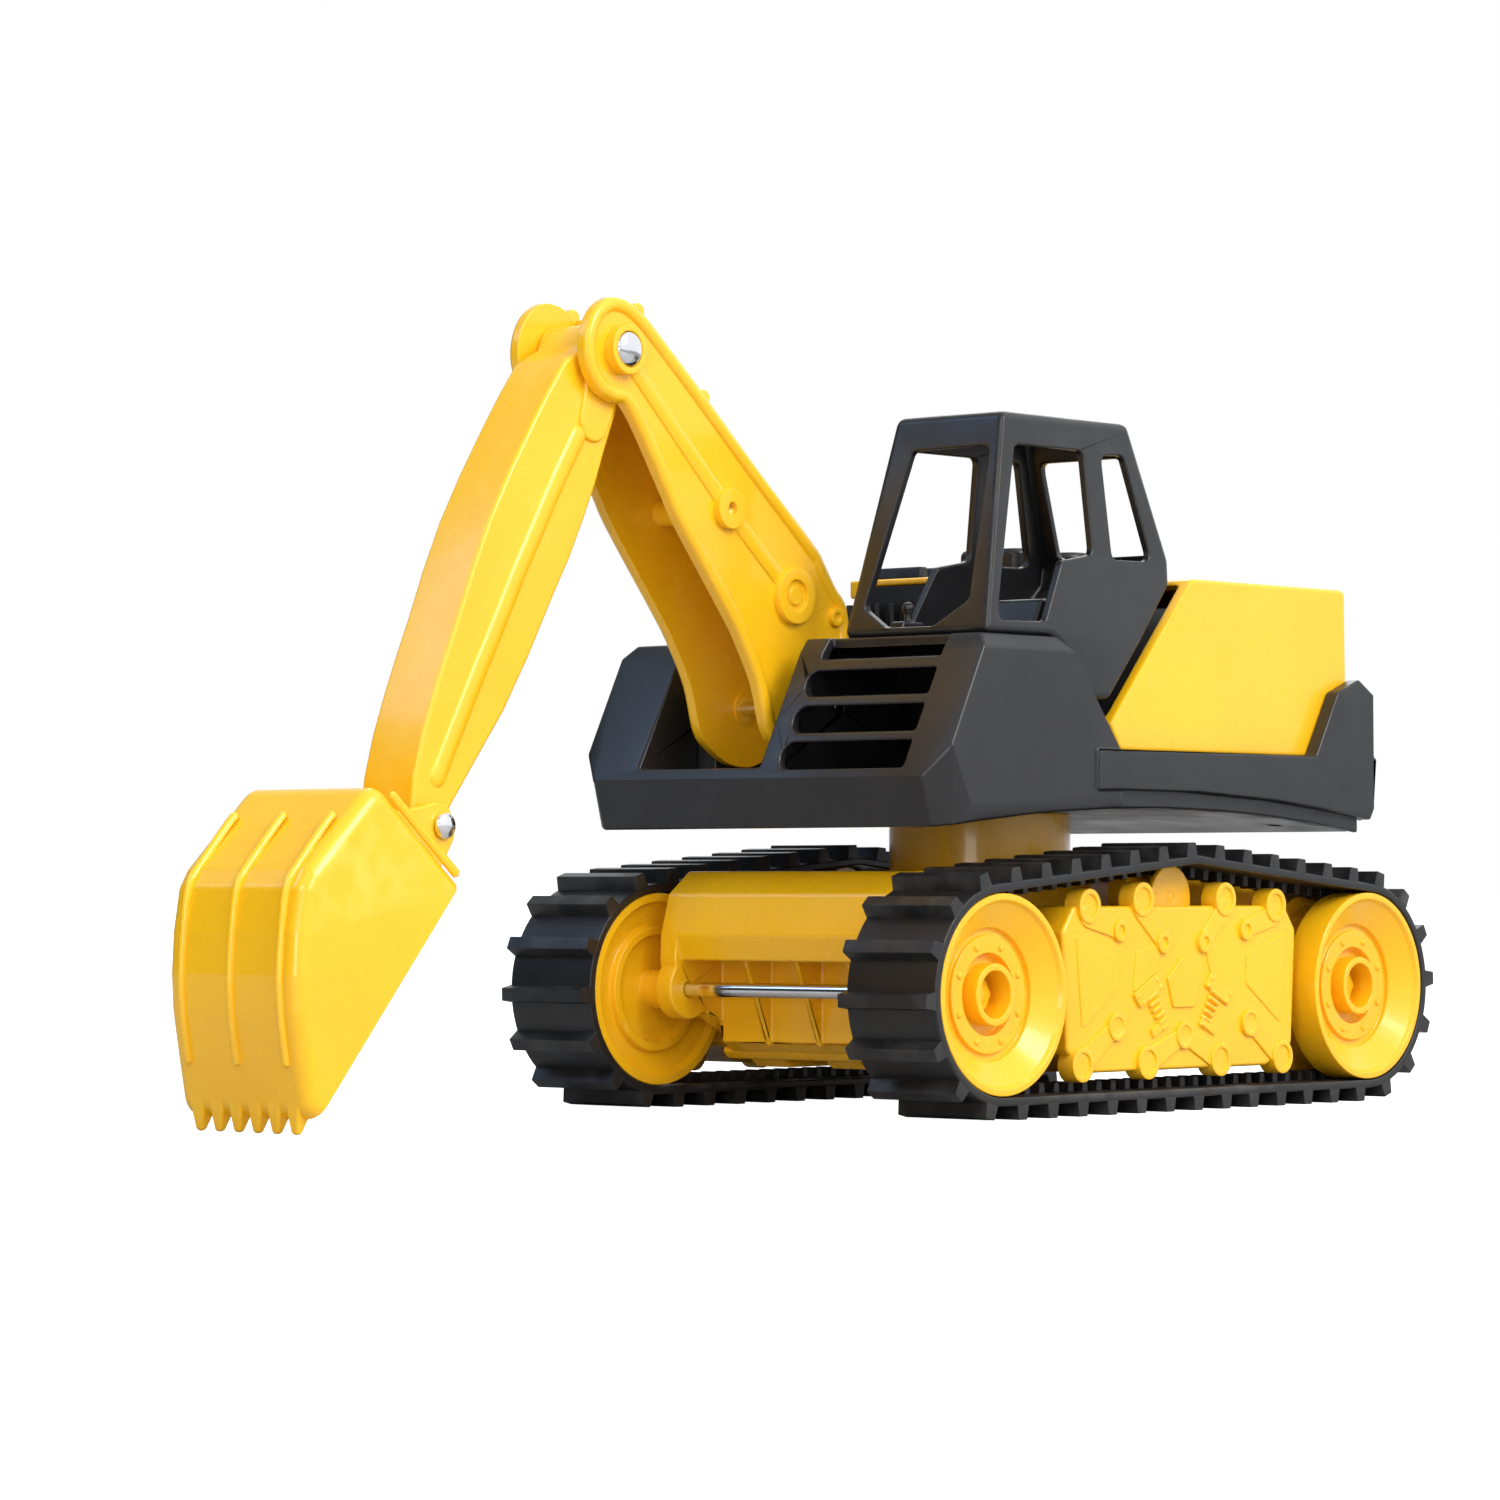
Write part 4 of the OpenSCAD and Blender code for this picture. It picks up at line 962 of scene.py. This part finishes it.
# %% Deck, hood and everything bolted to them
for node, name, material, width, segments in (
        ("house_deck", "deck", BLACK, 0.9, 3), ("house_floor", "deck_floor", BLACK, 0.5, 2),
        ("floor_screws", "deck_screws", STEEL, 0.25, 2), ("cab_seat", "seat", BLACK, 1.6, 4),
        ("control_console", "console", BLACK, 0.8, 3), ("arm_bracket_left", "bracket_left", BLACK, 0.6, 3),
        ("arm_bracket_right", "bracket_right", BLACK, 0.6, 3), ("engine_hood", "hood", YELLOW, 1.5, 4),
        ("louvre_panel", "louvres", BLACK, 0.3, 2), ("hood_ribs", "ribs", BLACK, 0.7, 3),
        ("exhaust_stacks", "stacks", BLACK, 0.5, 3), ("grille_strip", "inner_strip", YELLOW, 0.6, 3),
        ("boom_base_pin", "base_pin", STEEL, 0.3, 2)):
    softened_copy(node, name, "house", material, width, segments)

# %% [markdown]
# ## The cab
#
# The cab is one thin-walled moulding: a prism whose two sides lean inwards above the deck, hollowed
# out, with rounded windows through both sides and the front. The order matters. The solid is rounded
# first, so that the large rounds are even, then it is hollowed by a smaller form of the same kind, and
# the windows are cut last, so that their rims can take a finer round of their own.

# %% Cab
CAB_SIDE = [(95.9, 168.85), (80.5, 248), (7.2, 248), (-13.4, 199.7), (-13.3, 190), (24.7, 147.3),
            (39.3, 147.3), (56.9, 168.95)]
CAB_ROOM = [(92.6, 166), (77.9, 245), (9.3, 245), (-10.4, 199), (-10.3, 191.2), (26, 150.3), (36, 135),
            (60, 135)]
DECK_TOP = 168.6


def leaning(name, side, foot, roof, top, soft):
    """A prism whose sides stand at foot up to the deck and lean to roof at the top."""
    bm = bmesh.new()
    slab(bm, side, 0, 1)
    bmesh.ops.bisect_plane(bm, geom=bm.verts[:] + bm.edges[:] + bm.faces[:], plane_co=(0, 0, DECK_TOP),
                           plane_no=(0, 0, 1))
    for v in bm.verts:
        k = int(v.co.y > 0.5)
        t = max(0, (v.co.z - DECK_TOP) / (top - DECK_TOP))
        v.co.y = foot[k] + (roof[k] - foot[k]) * t
    return soften(to_object(name, bm, BLACK), soft, 5, 20)


cab = leaning("cab", CAB_SIDE, (14.2, 80), (26.5, 75), 248, 2.8)
cut(cab, leaning("cab_room", CAB_ROOM, (17.2, 77), (29.3, 72), 245, 2.2))
DOOR_WINDOW = [(74.7, 236.3), (35.2, 236.4), (32.5, 199.2), (50.9, 196.1), (62.2, 174.1), (87.5, 173.5),
               (88.8, 177.6)]
SMALL_WINDOW = [(24.5, 235.4), (11.4, 236.2), (-2.4, 198.2), (21, 198)]
WINDSCREEN = [(35.4, 235.5), (70.9, 235.8), (69.7, 180.9), (54.7, 172), (33.1, 172.1), (22, 179.2)]
REAR_WINDOW = [(32.5, 236), (69, 236), (72, 201.4), (29.3, 201.4)]
for window, start, end, soft, across in (
        (DOOR_WINDOW, 0, 100, 3.6, False), (SMALL_WINDOW, 0, 100, 3.6, False),
        (WINDSCREEN, 60, 110, 3.4, True), (REAR_WINDOW, -30, 18, 3.4, True)):
    bm = bmesh.new()
    slab(bm, rounded(window, soft, 6), start, end)
    if across:
        for v in bm.verts:
            v.co.x, v.co.y = v.co.y, v.co.x
    cut(cab, to_object("window", bm, BLACK))
soften(cab, 0.8, 3, 45)
fitted(cab, "house", "cab_shell")

# %% [markdown]
# ## The boom
#
# The boom is two moulded side walls joined by a back web and open underneath. Each wall has a fat
# rounded rim all the way round, a half-round ridge down its middle, and bosses where pins or screws
# pass. The outline is a smooth curve through a few points, and the rim is a bead laid along it.

# %% The arm's place
LIFT = radians(-1.25)
BASE = (85.5, middle("boom_base_pin").z / MM)
ARM_Y = (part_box("boom_web")[0].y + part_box("boom_web")[1].y) / 2 / MM
ARM = (Matrix.Translation((BASE[0], ARM_Y, BASE[1])) @ Matrix.Rotation(LIFT, 4, "Y")
       @ Matrix.Translation((-BASE[0], 0, -BASE[1])))
TIP = (188.5, 264.5)
BUCKET_PIN = (273.9, 96.5)
BOOM_HY = 19.2
BOOM_EDGE = [(193.4, 282.6), (185.9, 281.9), (178.2, 278.3), (170.4, 272.7), (146.7, 254.1),
             (114.4, 227.7), (84.7, 204.5), (79.1, 198.6), (72.9, 190.5), (65.8, 182.5), (63.9, 170),
             (63.4, 146), (66, 135.5), (72.5, 127.5), (81.5, 124), (92, 124.6), (101, 128.6),
             (108.9, 135.5), (114.4, 151.6), (122.5, 165.1), (130.5, 175.6), (157, 206.2),
             (165.9, 218.9), (184, 243.5), (192.5, 246.2), (199.5, 249), (205, 255), (207.4, 262),
             (206.8, 269.5), (203.6, 276.2), (198.9, 280.4)]
MID_BOSS, LOW_BOSS = (131.8, 213.5), (95.8, 184.8)
PIN_BORE = 2.56


# %% One half of the boom
def boom_half(name, hand):
    """A side wall with its rim, ridge and bosses, on the left (1) or right (-1)."""
    face = BOOM_HY - 1.7
    outline = flowing(BOOM_EDGE, 5)
    bm = bmesh.new()
    slab(bm, outline, 14, face, 0.5, 0.4)
    wall = bored(to_object(name, bm, YELLOW, ARM), BASE, PIN_BORE, ARM)
    bm = bmesh.new()
    side_ridge(bm, inset(outline, 2.6), face - 0.3, 2.55, 1.9, closed=True)
    side_ridge(bm, dense(TIP, MID_BOSS), face - 0.2, 3.4, 1.6)
    side_ridge(bm, dense(MID_BOSS, LOW_BOSS), face - 0.2, 3.4, 1.6)
    for x, z, r, hole, top, deep in ((*TIP, 8.8, 6.35, 2.6, 2.2), (*MID_BOSS, 7.3, 2.3, 1.2, 3.0),
                                     (*LOW_BOSS, 10.2, 5.8, 1.0, 1.4), (72, 178.6, 3.4, 1.4, 0.2, 1.0)):
        dished(bm, x, z, r, hole, face - 0.6, BOOM_HY + top, deep)
    rod(bm, *LOW_BOSS, 3.6, face, BOOM_HY + 0.5, 0.5)
    rod(bm, *MID_BOSS, 5, 3, 14.2)
    for x, z in ((179, 279), (144, 252)):
        rod(bm, x, z, 3, 13.8, BOOM_HY - 2.1, 0.6)
    turned(bm, *BASE, [(PIN_BORE, 13.2), (5.4, 13.2), (5.4, 14.2), (PIN_BORE, 14.2)], 48)
    join(wall, to_object("bosses", bm, YELLOW, ARM))
    return other_hand(wall, ARM_Y) if hand < 0 else wall


for hand, side in ((1, "left"), (-1, "right")):
    fitted(boom_half(f"boom_{side}", hand), "boom", f"boom_{side}_half", angle=35)
for node, name, material, width in (("boom_web", "boom_back", YELLOW, 0.5),
                                    ("boom_tie_rod", "tie_rod", STEEL, 0.3),
                                    ("boom_tip_pin", "tip_pin", STEEL, 0.3)):
    softened_copy(node, name, "boom", material, width, 2)

# %% Polished pin caps
CAP = [(0, 0), (6.2, 0), (6.2, 1.5), (5.9, 2.0), (5.3, 2.5), (4.4, 2.95), (3.3, 3.3), (1.8, 3.6), (0, 3.7)]
bm = bmesh.new()
for hand in (-1, 1):
    turned(bm, *TIP, [(r, hand * (BOOM_HY + 0.6 + y)) for r, y in CAP], 64)
fitted(to_object("pin_caps", bm, STEEL, ARM), "boom", "boom_pin_caps")

# %% [markdown]
# ## The stick
#
# The stick is a box that tapers to the bucket, in two halves that meet in the middle without a visible
# line. Its front face is flat across and slightly bowed along its length. Each side has one half-round
# rib and a rounded cheek beside the hinge, where a bore lets the boom's pin through.

# %% The stick
STICK_HY = 12.4
STICK_FRONT = [(211.2, 259), (219.4, 247.6), (227.2, 235.7), (237.6, 219), (247.3, 201.6), (254.7, 185.2),
               (261.3, 168.4), (267, 155), (272.4, 141.5), (277.4, 127.5), (281.2, 113)]
STICK_END = [(282.5, 98), (280, 90.8), (273.9, 87.7), (268, 89.8), (265.2, 95)]
STICK_REAR = [(264, 102.6), (251.6, 119.2), (238.6, 136.4), (226.6, 156), (215.5, 176.2), (207.2, 190.6),
              (200.1, 205.1), (194.6, 217.6), (190, 230.1), (182.5, 249)]
STICK_HEAD = [(178.6, 262), (180.2, 269.6), (185.5, 274), (191.5, 273.9), (196, 270.4), (200.5, 265)]
STICK_RIB = [(202, 237.2), (213.4, 219), (224.3, 199.8), (234, 182.6), (242.9, 165.6), (251.6, 149.6),
             (259.8, 134), (267, 120), (272.2, 109.5)]


def stick_half(name, hand):
    """One half of the stick, on the left (1) or right (-1)."""
    outline = [Vector(p) for p in STICK_FRONT]
    outline += flowing([STICK_FRONT[-1]] + STICK_END + [STICK_REAR[0]], 4, False)[1:-1]
    outline += [Vector(p) for p in STICK_REAR]
    outline += flowing([STICK_REAR[-1]] + STICK_HEAD, 4, False)[1:]
    bm = bmesh.new()
    slab(bm, outline, 0, STICK_HY, 1.5, steps=4)
    half = bored(to_object(name, bm, YELLOW, ARM), TIP, PIN_BORE, ARM)
    bm = bmesh.new()
    slab(bm, link(TIP, (197.2, 238.8), 10, 7.0), STICK_HY - 1, STICK_HY + 1.3, 0.9)
    cheek = bored(to_object("cheek", bm, YELLOW, ARM), TIP, PIN_BORE, ARM)
    bm = bmesh.new()
    side_ridge(bm, flowing(STICK_RIB, 6, False), STICK_HY - 0.3, 3.9, 1.5)
    join(half, cheek, to_object("rib", bm, YELLOW, ARM))
    return other_hand(half, ARM_Y) if hand < 0 else half


for hand, side in ((1, "left"), (-1, "right")):
    fitted(stick_half(f"stick_{side}", hand), "stick", f"stick_{side}_half", angle=35)

# %% Bucket pin
bm = bmesh.new()
rod(bm, *BUCKET_PIN, 3.35, -19.4, 19.4, 0.3, 40)
fitted(to_object("bucket_rod", bm, STEEL, ARM), "stick", "bucket_pin")
DOME = [(0, 0), (4.4, 0), (4.4, 0.7), (4.1, 1.2), (3.5, 1.7), (2.4, 2.15), (1.2, 2.35), (0, 2.4)]
bm = bmesh.new()
for hand in (-1, 1):
    turned(bm, *BUCKET_PIN, [(r, hand * (19.4 + y)) for r, y in DOME], 48)
fitted(to_object("bucket_rod_caps", bm, STEEL, ARM), "stick", "bucket_pin_caps")

# %% [markdown]
# ## The bucket
#
# The bucket is a deep scoop with softly rounded sides. A rounded outer form is cut by the flat plane of
# its mouth and then by a slightly smaller inner form, which leaves an even wall. Three ribs run down
# its back, two ears are bored for the pin, and six blunt teeth stand on the lip.

# %% Scoop
BUCKET_HY = 31.0
SCOOP = [(316.0, 110.0), (261.3, 64.9), (322.5, -10.0), (344.2, 1.6), (347.9, 18.4), (351.0, 34),
         (351.9, 46), (351.4, 60), (349.2, 74.4), (345.6, 80.6)]
WALL = 2.6
side = rounded(SCOOP, 8, 5)
bm = bmesh.new()
slab(bm, side, -BUCKET_HY, BUCKET_HY, 5.5, 5.5, steps=6)
scoop = to_object("bucket", bm, YELLOW, ARM)
bm = bmesh.new()
slab(bm, [(276.7, 77.6), (336.5, 4.6), (349.2, -10.9), (320, -40), (230, 50), (250, 110.2)], -60, 60)
cut(scoop, to_object("mouth", bm, YELLOW, ARM))
bm = bmesh.new()
slab(bm, inset(side, WALL), -BUCKET_HY + WALL, BUCKET_HY - WALL, 3.4, 3.4, steps=5)
cut(scoop, to_object("room", bm, YELLOW, ARM))
soften(scoop, 0.45, 2, 50)

# %% Ribs, ears and lip
bm = bmesh.new()
RIB = [(328.6, 99.0), (331.6, 96.4), (339.5, 87.6), (346.4, 79.6), (348.6, 76.6), (350.2, 71), (351.3, 60),
       (351.9, 46), (350.8, 33), (348.9, 22.5), (347.7, 16.5)]
rib = flowing(RIB, 6, False)


def rib_out(i):
    """The direction out of the bucket's back at a point of a rib, always towards the front."""
    d = (rib[min(i + 1, len(rib) - 1)] - rib[max(i - 1, 0)]).normalized()
    return Vector((-d.y, 0, d.x)) * (-1 if d.y > 0 else 1)


for y in (-23, 0, 23):
    ridge(bm, [(p.x, y, p.y) for p in rib], lambda i: Vector((0, 1, 0)), rib_out, 1.5, 1.5)
ears = bmesh.new()
EAR = [(267.6, 93), (277.6, 76.8), (304.6, 99), (283.4, 102.6), (277.4, 104.2), (270.4, 103.4)]
for hand in (-1, 1):
    slab(ears, rounded(EAR, 4.5, 6), hand * 14.3, hand * 18.6, 0.8, 0.8)
    side_ridge(bm, dense((278.2, 79.6), (310.6, 106.2)), hand * (BUCKET_HY - 0.5), 1.6, 0.9, out=hand)
ears = bored(to_object("ears", ears, YELLOW, ARM), BUCKET_PIN, 3.42, ARM)
join(scoop, ears, to_object("bucket_ribs", bm, YELLOW, ARM))

# %% Teeth
TEETH, TOOTH_PITCH = 6, 9.0
bm = bmesh.new()
ROOT = ((336.9, 5.6), (345.2, 6.6), 3.9)
POINT = ((341.2, -5.2), (343.5, -5.2), 1.5)
skin_between(bm, [[(back[0], -half, back[1]), (back[0], half, back[1]), (front[0], half, front[1]),
                   (front[0], -half, front[1])] for back, front, half in (ROOT, POINT)])
tooth = to_object("tooth", bm, YELLOW, ARM)
round_off = tooth.modifiers.new("round", "BEVEL")
round_off.width = 1.1 * MM
round_off.segments = 4
round_off.limit_method = "NONE"
baked(tooth)
tooth.data.transform(Matrix.Translation((0, -(TEETH - 1) / 2 * TOOTH_PITCH * MM, 0)))
teeth = repeat(row_tree, to_object("teeth", bmesh.new(), YELLOW), Piece=tooth, Count=TEETH,
               Step=(0, TOOTH_PITCH * MM, 0), Material=YELLOW)
drop(tooth)
join(scoop, teeth)
fitted(scoop, "bucket", "bucket_shell", angle=35)
